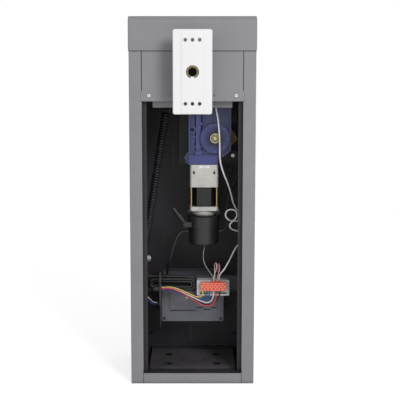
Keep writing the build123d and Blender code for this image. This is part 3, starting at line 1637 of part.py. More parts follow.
spring_stations = [
    (spring_point(hook_tail, -lower_hook, 0), -spring_axis),
    (spring_point(0, -lower_hook, 0), -spring_axis),
    (spring_point(-lower_hook, 0, 0), spring_rear),
    (spring_point(0, lower_hook, 0), spring_axis),
    (spring_point(coil_start - hook_rise, lower_hook, 0), spring_axis),
]
spring_quarters = 4 * spring_coils + 1
spring_stations += [coil_station(quarter) for quarter in range(spring_quarters + 1)]
spring_stations += [
    (spring_point(coil_end + hook_rise + coil_pitch / 4, 0, upper_hook), spring_axis),
    (spring_point(pull_length, 0, upper_hook), spring_axis),
    (spring_point(pull_length + upper_hook, 0, 0), -spring_side),
    (spring_point(pull_length, 0, -upper_hook), -spring_axis),
    (spring_point(pull_length - hook_tail, 0, -upper_hook), -spring_axis),
]
spring_wire_path = wound_path(spring_stations)
with BuildPart() as balance_spring:
    with BuildSketch(Plane(origin=spring_wire_path @ 0, z_dir=spring_wire_path % 0)) as wire_section:
        Circle(spring_wire / 2)
    sweep(wire_section.sketch, path=spring_wire_path)
spring_gap = least_self_gap(spring_wire_path, spring_wire, samples_per_coil * spring_coils)
print(f"balance_spring: least gap {spring_gap:.2f}")
balance_spring.part.label = "balance_spring"
export_step(balance_spring.part, "parts/balance_spring.step")


# Thimble between the upper hook and the pin, open on the side where the pin swings out
thimble_angle = spring_lever_angle - boom_travel / 2 + 180
thimble_cheeks = [
    polar(0, 0, thimble_reach, thimble_angle + turn) for turn in (-thimble_spread, 0, thimble_spread)
]
with BuildPart() as spring_thimble:
    with BuildSketch(facing(spring_pin_rest[0], spring_depth - thimble_width / 2, spring_pin_rest[1])):
        Circle(thimble_bore + thimble_wall)
        Circle(thimble_bore, mode=Mode.SUBTRACT)
        with BuildLine():
            Polyline((0, 0), *thimble_cheeks, close=True)
        make_face(mode=Mode.INTERSECT)
    extrude(amount=-thimble_width)
spring_thimble.part.label = "spring_thimble"
export_step(spring_thimble.part, "parts/spring_thimble.step")


# Cover screws: pan heads on the front and rear covers, and the lid screws of the control box
lid_face = box_depth - box_lid_step
box_middle_z = box_bottom + box_height / 2
lid_screw_z = box_bottom + box_screw_inset
with BuildPart() as cover_screws:
    for x in (-panel_screw_x, panel_screw_x):
        with BuildSketch(facing(x, 0, panel_screw_z)):
            Circle(screw_head / 2)
        extrude(amount=screw_head_height, taper=screw_head_slope)
        with BuildSketch(facing(x, 0, panel_screw_z)):
            Circle(screw_shank / 2)
        extrude(amount=-(rebate_depth + 2 * sheet))
    rear_face = housing_depth - rebate_depth + sheet
    for x, z in rear_screw_places:
        with BuildSketch(facing(x, rear_face, z, -1)):
            Circle(screw_head / 2)
        extrude(amount=screw_head_height, taper=screw_head_slope)
        with BuildSketch(facing(x, rear_face, z, -1)):
            Circle(screw_shank / 2)
        extrude(amount=-3 * sheet)
cover_screws.part.label = "cover_screws"
export_step(cover_screws.part, "parts/cover_screws.step")


# Cross bar between the side walls
with BuildPart() as cross_bar:
    bar_z = cross_bar_bottom + cross_bar_height / 2
    with BuildSketch(front_plane(cross_bar_depth + cross_bar_sheet)):
        with Locations((0, bar_z)):
            Rectangle(2 * inner_half, cross_bar_height)
    extrude(amount=cross_bar_sheet)
    for side in (-1, 1):
        ear_depth = cross_bar_depth + (cross_bar_ear + cross_bar_sheet) / 2
        with BuildSketch(wall_plane(side, ear_depth, bar_z)):
            Rectangle(cross_bar_ear + cross_bar_sheet, cross_bar_height)
        extrude(amount=cross_bar_sheet)
        with Locations(side_bolt_planes(side)[4]):
            Hole(small_bolt_shank / 2 + running_fit, depth=cross_bar_sheet)
cross_bar.part.label = "cross_bar"
export_step(cross_bar.part, "parts/cross_bar.step")


# Bracket of the control box: a back plate with a long left cheek and a short right one
cheek_inner = box_width / 2 + bracket_gap
cheek_front = cross_bar_depth + cross_bar_sheet
box_back = box_depth + box_length
bracket_back = box_back + bracket_sheet
bar_top = cross_bar_bottom + cross_bar_height
with BuildPart() as box_bracket:
    with BuildSketch(front_plane(bracket_back)):
        with Locations((0, (bracket_bottom + bar_top) / 2)):
            Rectangle(2 * (cheek_inner + bracket_sheet), bar_top - bracket_bottom)
    extrude(amount=bracket_sheet)
    for side, low in ((-1, bracket_bottom), (1, cross_bar_bottom)):
        with BuildSketch(Plane.YZ.offset(side * cheek_inner)):
            with Locations((at_depth((cheek_front + bracket_back) / 2), (low + bar_top) / 2)):
                Rectangle(bracket_back - cheek_front, bar_top - low)
        extrude(amount=side * bracket_sheet)
box_bracket.part.label = "box_bracket"
export_step(box_bracket.part, "parts/box_bracket.step")


# Control box with its screwed front lid
lid_back = box_depth + box_lid_thickness
with BuildPart() as control_box:
    with BuildSketch(front_plane(box_back)):
        with Locations((0, box_middle_z)):
            RectangleRounded(box_width, box_height, box_corner)
    extrude(amount=box_back - lid_back)
    with BuildSketch(front_plane(box_back - box_wall)):
        with Locations((0, box_middle_z)):
            RectangleRounded(box_width - 2 * box_wall, box_height - 2 * box_wall, box_corner - box_wall / 2)
            # screw posts in the corners stay
            with GridLocations(box_width - 2 * box_screw_inset, box_height - 2 * box_screw_inset, 2, 2):
                Circle(box_screw_recess, mode=Mode.SUBTRACT)
    extrude(amount=box_length, mode=Mode.SUBTRACT)
control_box.part.label = "control_box"
export_step(control_box.part, "parts/control_box.step")

raised_outline = [
    (box_lid_left, box_bottom + box_height - box_screw_inset),
    (box_lid_left, box_lid_bottom),
    (box_lid_notch_left, box_lid_bottom),
    (box_lid_notch_left + box_tongue_drop, box_lid_bottom + box_lid_notch),
    (box_tongue_left - box_tongue_drop / 2, box_lid_bottom + box_lid_notch),
    (box_tongue_left, box_lid_bottom + box_lid_notch - box_tongue_drop),
    (box_tongue_right, box_lid_bottom + box_lid_notch - box_tongue_drop),
    (box_tongue_right + box_tongue_drop / 2, box_lid_bottom + box_lid_notch),
    (box_lid_right, box_lid_bottom + box_lid_notch),
    (box_lid_right, box_bottom + box_height - box_screw_inset),
]
with BuildPart() as control_box_lid:
    with BuildSketch(front_plane(lid_back)):
        with Locations((0, box_middle_z)):
            RectangleRounded(box_width, box_height, box_corner)
    extrude(amount=box_lid_thickness)
    with BuildSketch(front_plane(box_depth)):
        with BuildLine():
            Polyline(*raised_outline, close=True)
        make_face()
    extrude(amount=box_lid_step)
    with BuildSketch(front_plane(box_depth)):
        with Locations((0, box_middle_z)):
            with GridLocations(box_width - 2 * box_screw_inset, box_height - 2 * box_screw_inset, 2, 2):
                Circle(box_screw_recess / 2)
    extrude(amount=-box_lid_step, mode=Mode.SUBTRACT)
    chamfer(
        control_box_lid.faces().sort_by(Axis.Y)[0].outer_wire().edges().filter_by(Axis.X),
        box_lid_step / 3,
    )
control_box_lid.part.label = "control_box_lid"
export_step(control_box_lid.part, "parts/control_box_lid.step")


# Terminal module on its bracket, with the plug that the wires go into
module_back = cross_bar_depth - module_bracket_sheet
module_centre_x = module_left + module_width / 2
bracket_x = module_bracket_left + module_bracket_width / 2
bracket_z = cross_bar_bottom + cross_bar_height / 2
with BuildPart() as module_bracket:
    with BuildSketch(front_plane(cross_bar_depth)):
        with Locations((bracket_x, bracket_z)):
            Rectangle(module_bracket_width, module_bracket_height)
    extrude(amount=module_bracket_sheet)
    for z in (bracket_z - module_bracket_height / 2, bracket_z + module_bracket_height / 2):
        inward = module_bracket_sheet / 2 if z < bracket_z else -module_bracket_sheet / 2
        for x in (module_bracket_left, module_bracket_left + module_bracket_width):
            toward = 1 if x < bracket_x else -1
            with BuildSketch(front_plane(module_back)):
                with Locations((x + toward * module_bracket_fold / 2, z + inward)):
                    Rectangle(module_bracket_fold, module_bracket_sheet)
            extrude(amount=module_bracket_fold)
module_bracket.part.label = "module_bracket"
export_step(module_bracket.part, "parts/module_bracket.step")

module_top = module_bottom + module_height
with BuildPart() as terminal_module:
    with BuildSketch(front_plane(module_back)):
        with Locations((module_centre_x, (module_bottom + module_top) / 2)):
            RectangleRounded(module_width, module_height, bend_radius / 2)
    extrude(amount=module_back - module_front)
    with BuildSketch(front_plane(module_front)):
        with Locations((module_centre_x, module_slot_z)):
            Rectangle(module_width - 4 * module_slot_height, module_slot_height)
    extrude(amount=-module_slot_depth, mode=Mode.SUBTRACT)
terminal_module.part.label = "terminal_module"
export_step(terminal_module.part, "parts/terminal_module.step")

plug_front = module_front - plug_depth
plug_middle = (module_front + plug_front) / 2
plug_pitch = plug_width / plug_ways
plug_top = plug_bottom + plug_height
plug_centre = (plug_left + plug_width / 2, plug_bottom + plug_height / 2)
plug_boss_xs = [plug_left + plug_pitch * way for way in plug_boss_ways]
with BuildPart() as plug_connector:
    with BuildSketch(front_plane(module_front)):
        with Locations(plug_centre):
            RectangleRounded(plug_width, plug_height, bend_radius / 3)
    extrude(amount=plug_depth)
    with BuildSketch(front_plane(plug_front)):
        with Locations(plug_centre):
            with GridLocations(plug_pitch, plug_row_spacing, plug_ways, 2):
                Rectangle(plug_socket, plug_socket)
            with GridLocations(plug_pitch, plug_pitch, plug_ways - 1, 1):
                Circle(plug_socket / 2)
    extrude(amount=-plug_socket_depth, mode=Mode.SUBTRACT)
    with BuildSketch(Plane(origin=(0, at_depth(plug_middle), plug_top), z_dir=(0, 0, 1))):
        with Locations(*[(x, 0) for x in plug_boss_xs]):
            Circle(plug_boss_radius)
    extrude(amount=plug_boss_height)
plug_connector.part.label = "plug_connector"
export_step(plug_connector.part, "parts/plug_connector.step")


# Cable hank: flat loops wound in and out again, layer in front of layer, from the rear sleeve
# to the front one
corner_points = (
    (hank_right_x, 90, (1, 0)),
    (hank_right_x, 0, (0, -1)),
    (hank_right_x, -90, (-1, 0)),
    (hank_left_x, -90, (-1, 0)),
    (hank_left_x, 180, (0, 1)),
    (hank_left_x, 90, (1, 0)),
)
hank_back = hank_front + hank_wire / 2 + (hank_layers - 1) * hank_pitch


def hank_station(corner, growth, depth):
    """Point and direction at a corner of a loop that has grown by some pitches."""
    centre, angle, heading = corner_points[corner]
    x, z = polar(centre, hank_z, hank_radius + hank_pitch * growth, angle)
    return Vector(x, at_depth(depth), z), Vector(heading[0], 0, heading[1])


def hank_stations():
    corners = len(corner_points)
    lead_x, lead_z = polar(hank_left_x, hank_z, hank_radius + hank_pitch * hank_loops, 180 - 90 / 2)
    sleeve_top = Vector(side_sleeve_x, at_depth(side_sleeve_depth), side_sleeve_z + side_sleeve_length)
    stations = [
        (sleeve_top, Vector(0, 0, 1)),
        (Vector(lead_x, at_depth(hank_back), lead_z), Vector(1, 0, 1)),
        hank_station(corners - 1, hank_loops, hank_back),
    ]
    for layer in reversed(range(hank_layers)):
        depth = hank_back - (hank_layers - 1 - layer) * hank_pitch
        last = corners * hank_loops if layer else corners * hank_loops - 2
        for step in range(1, last + 1):
            growth = hank_loops - step / corners if layer % 2 else step / corners
            stations.append(hank_station((step - 1) % corners, growth, depth))
    # fold forward into the front sleeve
    front_depth = hank_front + hank_wire / 2
    end_point = stations[-1][0]
    fold_radius = (front_depth - bundle_depth) / 2
    fold_x = hank_left_x - hank_wire / 2
    middle_z = (end_point.Z + bundle_z) / 2
    sleeve_left = bundle_end_x - bundle_sleeve_length
    stations += [
        (Vector(fold_x, at_depth(front_depth), end_point.Z), Vector(-1, 0, 0)),
        (Vector(fold_x - fold_radius, at_depth(bundle_depth + fold_radius), middle_z), Vector(0, -1, 0)),
        (Vector(fold_x, at_depth(bundle_depth), bundle_z), Vector(1, 0, 0)),
        (Vector(sleeve_left, at_depth(bundle_depth), bundle_z), Vector(1, 0, 0)),
    ]
    return stations


hank_path = wound_path(hank_stations())
with BuildPart() as cable_hank:
    with BuildSketch(Plane(origin=hank_path @ 0, z_dir=hank_path % 0)) as hank_section:
        Circle(hank_wire / 2)
    sweep(hank_section.sketch, path=hank_path)
hank_gap = least_self_gap(hank_path, hank_wire, samples_per_loop * hank_layers * hank_loops)
print(f"cable_hank: least gap {hank_gap:.2f}, length {hank_path.length:.0f}")
cable_hank.part.label = "cable_hank"
export_step(cable_hank.part, "parts/cable_hank.step")

strap_back = cross_bar_depth - fit
with BuildPart() as hank_strap:
    with BuildSketch(Plane.YZ.offset(strap_x)):
        with Locations((at_depth((strap_front + strap_back) / 2), (strap_bottom + strap_top) / 2)):
            RectangleRounded(strap_back - strap_front, strap_top - strap_bottom, 4 * strap_thickness)
            RectangleRounded(
                strap_back - strap_front - 2 * strap_thickness,
                strap_top - strap_bottom - 2 * strap_thickness,
                3 * strap_thickness,
                mode=Mode.SUBTRACT,
            )
        with Locations((at_depth(strap_front - strap_thickness / 2), (strap_stub_top + strap_tail_bottom) / 2)):
            Rectangle(strap_thickness, strap_stub_top - strap_tail_bottom)
    extrude(amount=strap_width)
hank_strap.part.label = "hank_strap"
export_step(hank_strap.part, "parts/hank_strap.step")

with BuildPart() as cable_sleeves:
    bundle_start = Plane(
        origin=(bundle_end_x - bundle_sleeve_length, at_depth(bundle_depth), bundle_z), z_dir=(1, 0, 0)
    )
    with BuildSketch(bundle_start):
        Circle(sleeve_radius)
    extrude(amount=bundle_sleeve_length)
    with BuildSketch(plan_plane(side_sleeve_z)):
        with Locations((side_sleeve_x, at_depth(side_sleeve_depth))):
            Circle(side_sleeve_radius)
    extrude(amount=side_sleeve_length)
cable_sleeves.part.label = "cable_sleeves"
export_step(cable_sleeves.part, "parts/cable_sleeves.step")


# Glands of the control box and brake cover, and the clip of the long white cable
with BuildPart() as cable_glands:
    cheek_face = -(cheek_inner + bracket_sheet)
    with BuildSketch(Plane(origin=(cheek_face, at_depth(gland_depth), gland_z), z_dir=(-1, 0, 0))):
        Circle(gland_radius)
    extrude(amount=gland_length)
    for side in (-1, 1):
        gland_x = motor_x + side * brake_cover_lower / 2
        with BuildSketch(Plane(origin=(gland_x, motor_y, cover_gland_z), z_dir=(side, 0, 0))):
            Circle(cover_gland_radius)
        extrude(amount=cover_gland_length)
    plate_face = front_frame_depth + frame_sheet
    with BuildSketch(plan_plane(clip_bottom)):
        with Locations((clip_x, at_depth((plate_face + clip_depth + clip_side / 2) / 2))):
            Rectangle(clip_side, clip_depth + clip_side / 2 - plate_face)
    extrude(amount=clip_side)
cable_glands.part.label = "cable_glands"
export_step(cable_glands.part, "parts/cable_glands.step")


# Cords: each route is X, depth behind the front face, and height, chosen along the real cable
def cord_tube(points, diameter):
    """Solid of a cord along straight runs joined by tangent arcs, with its radii and its length."""
    places = route(points)
    radii = cord_radii(places)
    with BuildLine() as line:
        FilletPolyline(*places, radius=radii)
    path = line.wire()
    with BuildSketch(Plane(origin=path @ 0, z_dir=path % 0)) as section:
        Circle(diameter / 2)
    with BuildPart() as tube:
        sweep(section.sketch, path=path)
    return tube.part, radii, path.length


def make_cord(name, points, diameter):
    solid, radii, length = cord_tube(points, diameter)
    report_cord(name, points, diameter, radii, solid.volume, length)
    return solid


white_route = [
    (64, 46, 812), (64, 46, 801), (66, 55, 787), (69, 66, 770), (73, 76, 748), (76, 81, 720), (78, 83, 690),
    (78, 83, 660), (79, 83, 634), (84, 84, 612), (93, 87, 588), (104, 91, 562), (112, 94, 536),
    (117, 97, 514), (124, 101, 496), (134, 104, 484), (143, 104, 474), (143, 101, 463), (134, 97, 457),
    (121, 95, 456), (108, 94, 458), (98, 93, 466), (95, 91, 478), (101, 88, 489), (113, 84, 493),
    (125, 80, 489), (130, 78, 478), (125, 78, 466), (114, 79, 457), (107, 81, 447), (110, 84, 437),
    (121, 88, 431), (135, 92, 427), (145, 94, 418), (147, 94, 406), (140, 91, 395), (128, 88, 382),
    (117, 87, 362), (106, 87, 338), (94, 89, 316), (82, 94, 301), (77, 98, 290), (77, 98, 281),
]
motor_route = [
    (-16.5, 137, 421), (-31, 137, 421), (-44, 134, 407), (-52, 130, 387), (-59, 128, 364), (-66, 132, 341),
    (-72, 142, 321), (-75, 154, 306), (-76, 164, 292), (-76, 164, 278),
]
brake_route = [
    (83.5, 137, 421), (94, 137, 421), (101, 138, 432), (103, 139, 445), (101, 141, 463), (101, 143, 484),
    (104, 146, 508), (111, 151, 534), (122, 158, 561), (137, 164, 589), (147, 168, 623), (151, 174, 660),
    (151, 182, 692), (152, 190, 714), (151, 193.5, 731), (145, 193.5, 746), (132.5, 193.5, 746),
]
plug_routes = {
    "red": [
        (-91.5, 86, 257), (-83, 86, 257), (-71, 83, 259), (-56, 81, 256.5), (-38, 80, 250), (-18, 79.5, 240),
        (2, 80, 225), (21, 82, 212), (40, 84, 206), (56, 85, 208.5), (66, 86, 219), (69, 86.5, 232),
        (69, 85, 244), (69, 85, 253),
    ],
    "white": [
        (-91.5, 90, 258), (-83, 90, 258), (-71, 87.5, 260), (-54, 86.5, 257), (-35, 85, 249), (-14, 83.8, 239.5),
        (6, 84, 230), (25, 85, 220.5), (41, 86, 215), (53, 86.5, 218.5), (60, 86.5, 229), (61.5, 85.5, 242),
        (61.5, 85, 253),
    ],
    "yellow": [
        (-91.5, 86, 261.5), (-83, 86, 261.5), (-71, 83.5, 263.5), (-54, 82, 262), (-35, 82, 255), (-16, 83, 246),
        (0, 84.5, 238), (13, 86, 233), (23, 87.5, 232), (29, 87.5, 237), (30, 85.5, 245), (30, 85, 253),
    ],
    "blue": [
        (-91.5, 91, 252), (-83, 91, 252), (-71, 89, 253.5), (-54, 88, 249.5), (-31, 88, 241.5), (-6, 88.5, 233),
        (14, 88.5, 226), (32, 88, 222.5), (44, 88, 226), (49.5, 87, 234.5), (50, 85.5, 244), (50, 85, 253),
    ],
    "teal": [
        (-91.5, 94, 254), (-83, 94, 254), (-71, 93, 256.5), (-53, 92, 253), (-29, 92, 245.5), (-6, 92, 238),
        (12, 92, 231), (26, 91, 228.5), (36, 89.5, 231), (41, 87.5, 237.5), (41.5, 85.5, 245), (41, 85, 253),
    ],
    "black": [
        (10, 147.5, 228), (10, 139, 228), (14, 128, 221), (24, 115, 210), (39, 105, 203.5), (56, 99, 207),
        (69, 94, 219), (77, 90, 232), (81, 86.5, 243), (82, 85, 253),
    ],
}
side_routes = {
    "white": [
        (side_sleeve_x + side_wire_offset, 112, 262), (side_sleeve_x + side_wire_offset, 112, 254),
        (-141.5, 114, 243), (-138, 118, 231), (-130, 126, 219),
        (-123, 138, 209), (-119, 150, 202), (-113, 158, 198.5), (-105, 158, 198.5),
    ],
    "blue": [
        (side_sleeve_x - side_wire_offset, 116, 262), (side_sleeve_x - side_wire_offset, 116, 254),
        (-147.5, 118, 242), (-144, 122, 227), (-134, 130, 213),
        (-126, 142, 202), (-121, 154, 195), (-113, 160.5, 193.5), (-105, 160.5, 193.5),
    ],
}
jumper_routes = {
    "cream": [
        (61.5, 85.5, 281), (61.5, 85.5, 289), (64, 85.5, 300), (69, 87, 313), (71, 90, 325), (69, 97, 333),
        (65.5, 104.5, 329), (64.5, 109, 318), (65.5, 111, 303), (66, 111, 290), (66, 111, 281),
    ],
    "pink": [
        (72.2, 85.5, 281), (72.2, 85.5, 289), (75, 85.5, 300), (79, 87, 313), (79, 90, 324), (77, 97, 331),
        (75, 104, 326), (74.5, 108, 316), (76, 110, 303), (78, 111, 290), (78, 111, 281),
    ],
    "grey": [
        (36, 130, 384), (36, 129, 376), (33, 124, 363), (31, 116, 347), (34, 108, 330), (43, 101, 314),
        (54, 96.5, 301), (59, 96, 290), (59, 96, 281),
    ],
}

with BuildPart() as white_cable:
    add(make_cord("white_cable", white_route, white_cable_diameter))
white_cable.part.label = "white_cable"
export_step(white_cable.part, "parts/white_cable.step")

with BuildPart() as motor_cables:
    add(make_cord("motor_cables motor", motor_route, motor_cable_diameter))
    add(make_cord("motor_cables brake", brake_route, motor_cable_diameter))
motor_cables.part.label = "motor_cables"
export_step(motor_cables.part, "parts/motor_cables.step")

with BuildPart() as plug_wires:
    for colour, points in plug_routes.items():
        add(make_cord(f"plug_wires {colour}", points, wire_diameter))
plug_wires.part.label = "plug_wires"
export_step(plug_wires.part, "parts/plug_wires.step")

with BuildPart() as side_wires:
    for colour, points in side_routes.items():
        add(make_cord(f"side_wires {colour}", points, wire_diameter))
side_wires.part.label = "side_wires"
export_step(side_wires.part, "parts/side_wires.step")

with BuildPart() as jumper_wires:
    for colour, points in jumper_routes.items():
        diameter = thin_wire_diameter if colour == "grey" else wire_diameter
        add(make_cord(f"jumper_wires {colour}", points, diameter))
jumper_wires.part.label = "jumper_wires"
export_step(jumper_wires.part, "parts/jumper_wires.step")
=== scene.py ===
from math import cos, pi, radians, sin

import bmesh
import bpy
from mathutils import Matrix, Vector


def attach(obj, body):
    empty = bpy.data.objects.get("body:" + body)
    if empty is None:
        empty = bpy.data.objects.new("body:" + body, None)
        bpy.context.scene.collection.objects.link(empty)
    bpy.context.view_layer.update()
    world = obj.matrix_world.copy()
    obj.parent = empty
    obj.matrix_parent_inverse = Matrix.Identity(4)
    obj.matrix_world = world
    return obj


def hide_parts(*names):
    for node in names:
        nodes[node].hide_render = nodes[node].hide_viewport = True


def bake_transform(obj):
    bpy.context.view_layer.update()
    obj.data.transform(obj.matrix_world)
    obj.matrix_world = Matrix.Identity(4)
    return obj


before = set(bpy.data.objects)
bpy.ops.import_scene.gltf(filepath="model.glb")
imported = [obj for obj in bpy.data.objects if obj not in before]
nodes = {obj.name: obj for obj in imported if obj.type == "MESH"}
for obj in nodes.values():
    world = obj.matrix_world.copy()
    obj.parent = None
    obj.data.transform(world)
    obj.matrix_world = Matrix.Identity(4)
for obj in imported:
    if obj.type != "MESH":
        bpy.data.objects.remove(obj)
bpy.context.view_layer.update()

# Camera at the photograph's viewing angle: 2.33 m in front of the cabinet, whose front face
# stands at FRONT_Y, a little below its cap, and tilted down by seven degrees.
FRONT_Y = -0.11325
CAMERA_DISTANCE, CAMERA_HEIGHT, CAMERA_TILT = 2.330, 0.816, 7
camera_data = bpy.data.cameras.new("camera")
camera_data.sensor_width = 36
camera_data.lens = 75.74
camera_data.shift_x = 0.01875
camera_data.clip_start = 0.05
camera_data.clip_end = 50
camera = bpy.data.objects.new("camera", camera_data)
camera.location = (0, FRONT_Y - CAMERA_DISTANCE, CAMERA_HEIGHT)
camera.rotation_euler = (radians(90 - CAMERA_TILT), 0, 0)
bpy.context.scene.collection.objects.link(camera)
bpy.context.scene.camera = camera


# Cabinet: side panels, sills, cap, upper front panel and rear cover of folded 2 mm sheet steel.
# All are powder coated in a fine grey texture, and the faces inside the cabinet are painted near
# black as shade. The cap lies on the side panels' top flanges, the covers are screwed to the seats.
def join(tree, source, socket):
    """Feed a socket from another socket, or set it to a plain number or colour."""
    if hasattr(source, "is_linked"):
        tree.links.new(source, socket)
    else:
        socket.default_value = source


def blend_colours(tree, factor, first, second):
    node = tree.nodes.new("ShaderNodeMix")
    node.data_type = "RGBA"
    join(tree, factor, node.inputs[0])
    join(tree, first, node.inputs[6])
    join(tree, second, node.inputs[7])
    return node.outputs[2]


def reckon(tree, kind, first, second=0.0, clamp=False):
    """One sum on two numbers or masks."""
    node = tree.nodes.new("ShaderNodeMath")
    node.operation = kind
    node.use_clamp = clamp
    join(tree, first, node.inputs[0])
    join(tree, second, node.inputs[1])
    return node.outputs[0]


def mottle(tree, coords, scale, detail=3.0, stretch=None):
    """Noise over the surface, drawn out along an axis where the finish is brushed or rolled."""
    if stretch:
        mapping = tree.nodes.new("ShaderNodeMapping")
        mapping.inputs["Scale"].default_value = stretch
        join(tree, coords, mapping.inputs["Vector"])
        coords = mapping.outputs[0]
    node = tree.nodes.new("ShaderNodeTexNoise")
    node.inputs["Scale"].default_value = scale
    node.inputs["Detail"].default_value = detail
    join(tree, coords, node.inputs["Vector"])
    return node.outputs["Fac"]


def spread(tree, value, low, high):
    """Widen noise, which keeps near its middle, to run from low to high."""
    node = tree.nodes.new("ShaderNodeMapRange")
    node.inputs["From Min"].default_value = 0.3
    node.inputs["From Max"].default_value = 0.7
    node.inputs["To Min"].default_value = low
    node.inputs["To Max"].default_value = high
    join(tree, value, node.inputs["Value"])
    return node.outputs[0]


BROAD_SCALE, SCUFF_SCALE, SCUFF_LIMIT, GRAIN_DEPTH = 14, 60, 0.66, 0.0004
GRIME_AND_SHADE_REACH, GRIME_AND_SHADE_TONE = 0.012, 0.35
DUST_COLOUR = (0.42, 0.40, 0.37)


def finish(name, colour, rough=0.5, metal=0.0, drift=0.12, grain=900, bump=0.12, grime_and_shade=0.45,
           dust=0.12, stretch=None, coat=0.0, second=None, where=None, wear=0.0):
    """Surface with colour drift, grain, grime with painted shade in its corners, dust on top and
    scuffs; where the place function gives 1 it takes its second colour."""
    material = bpy.data.materials.new(name)
    material.use_nodes = True
    tree = material.node_tree
    shader = tree.nodes["Principled BSDF"]
    coords = tree.nodes.new("ShaderNodeTexCoord").outputs["Object"]
    broad = mottle(tree, coords, BROAD_SCALE, 4)
    fine = mottle(tree, coords, grain, 2, stretch)
    factor = reckon(tree, "MULTIPLY", spread(tree, broad, 1 - drift, 1 + drift),
                    spread(tree, fine, 1 - drift * 0.8, 1 + drift * 0.8))
    scale = tree.nodes.new("ShaderNodeVectorMath")
    scale.operation = "SCALE"
    if second:
        base = blend_colours(tree, where(tree, coords), (*colour, 1), (*second, 1))
        tree.links.new(base, scale.inputs[0])
    else:
        scale.inputs[0].default_value = colour
    tree.links.new(factor, scale.inputs["Scale"])
    # Darkening where the occlusion node finds corners and crevices: some grime, and painted shade.
    occlusion_probe = tree.nodes.new("ShaderNodeAmbientOcclusion")
    occlusion_probe.samples = 4
    occlusion_probe.inputs["Distance"].default_value = GRIME_AND_SHADE_REACH
    occluded = reckon(tree, "SUBTRACT", 1.0, reckon(tree, "POWER", occlusion_probe.outputs["AO"], 1.5), True)
    darker = colour if not second else [min(pair) for pair in zip(colour, second)]
    tone = blend_colours(tree, reckon(tree, "MULTIPLY", occluded, grime_and_shade, True), scale.outputs[0],
                         (*(value * GRIME_AND_SHADE_TONE for value in darker), 1))
    normal = tree.nodes.new("ShaderNodeSeparateXYZ")
    tree.links.new(tree.nodes.new("ShaderNodeNewGeometry").outputs["Normal"], normal.inputs[0])
    upward = reckon(tree, "MULTIPLY", reckon(tree, "MAXIMUM", normal.outputs[2], 0.0),
                    spread(tree, broad, 0.2, 1.0))
    tone = blend_colours(tree, reckon(tree, "MULTIPLY", upward, dust, True), tone,
                         (*DUST_COLOUR, 1))
    if wear:
        scuffs = mottle(tree, coords, SCUFF_SCALE, 6, (1, 1, 0.15))
        marks = reckon(tree, "MULTIPLY", reckon(tree, "GREATER_THAN", scuffs, SCUFF_LIMIT), wear)
        rubbed = [min(1, value * 1.7 + 0.03) for value in colour]
        tone = blend_colours(tree, marks, tone, (*rubbed, 1))
    tree.links.new(tone, shader.inputs["Base Color"])
    shader.inputs["Metallic"].default_value = metal
    shader.inputs["Coat Weight"].default_value = coat
    tree.links.new(spread(tree, fine, max(0.05, rough - 0.10), min(1.0, rough + 0.10)),
                   shader.inputs["Roughness"])
    bumps = tree.nodes.new("ShaderNodeBump")
    bumps.inputs["Strength"].default_value = bump
    bumps.inputs["Distance"].default_value = GRAIN_DEPTH
    tree.links.new(fine, bumps.inputs["Height"])
    tree.links.new(bumps.outputs[0], shader.inputs["Normal"])
    return material


def within(tree, value, low, high):
    """1 where a value lies between two bounds."""
    return reckon(tree, "MULTIPLY", reckon(tree, "GREATER_THAN", value, low),
                  reckon(tree, "LESS_THAN", value, high))


def in_block(tree, coords, low, high):
    """1 between two corners of a block, in metres."""
    parts = tree.nodes.new("ShaderNodeSeparateXYZ")
    tree.links.new(coords, parts.inputs[0])
    both = reckon(tree, "MULTIPLY", within(tree, parts.outputs[0], low[0], high[0]),
                  within(tree, parts.outputs[1], low[1], high[1]))
    return reckon(tree, "MULTIPLY", both, within(tree, parts.outputs[2], low[2], high[2]))


def in_interior_shade(tree, coords):
    """1 between the inner faces of the side walls, front, rear cover and cap: painted shade inside.
    """
    side, front, rear, cap = 0.1738, FRONT_Y + 0.0028, FRONT_Y + 0.281, 0.9405
    return in_block(tree, coords, (-side, front, -0.01), (side, rear, cap))


def dress(material, *names):
    """Give CAD nodes their finish."""
    for name in names:
        node = nodes[name]
        if not node.material_slots:
            node.data.materials.append(material)
        for entry in node.material_slots:
            entry.link = "OBJECT"
            entry.material = material


cabinet_paint_and_shade = finish("cabinet_paint_and_shade", (0.235, 0.231, 0.245), rough=0.55, drift=0.04, grain=1400,
                       bump=0.25, grime_and_shade=0.55, dust=0.06, second=(0.0125, 0.0092, 0.0145),
                       where=in_interior_shade, wear=0.04)
dress(cabinet_paint_and_shade, "left_side_panel", "right_side_panel", "sills", "top_cap",
      "upper_front_panel", "rear_cover")


# Joint shade: black strips painted as the shade in the joints of the upper front panel with the
# side panels and the cap, and in those at the ends of the front sill. They stand out by a hair.
def place(x, depth, z):
    """Point in metres from X, depth behind the front face and height in millimetres."""
    return Vector((x * 0.001, FRONT_Y + depth * 0.001, z * 0.001))


def add_piece(name, work, material, body):
    """Turn a bmesh into a piece that rides on a body and takes its finish from a slot."""
    mesh = bpy.data.meshes.new(name)
    bmesh.ops.recalc_face_normals(work, faces=work.faces)
    work.to_mesh(mesh)
    work.free()
    mesh.materials.append(material)
    piece = bpy.data.objects.new(name, mesh)
    bpy.context.scene.collection.objects.link(piece)
    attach(piece, body)


def add_block(work, low, high, bevel=0.0):
    """Block between two corners given as X, depth and height in millimetres, with rounded edges."""
    first, last = place(*low), place(*high)
    made = bmesh.ops.create_cube(work, size=1)["verts"]
    for vertex in made:
        for axis in range(3):
            vertex.co[axis] = first[axis] if vertex.co[axis] < 0 else last[axis]
    if bevel:
        edges = {edge for vertex in made for edge in vertex.link_edges}
        bmesh.ops.bevel(work, geom=list(edges), offset=bevel * 0.001, affect="EDGES", segments=2,
                        profile=0.5, material=-1)


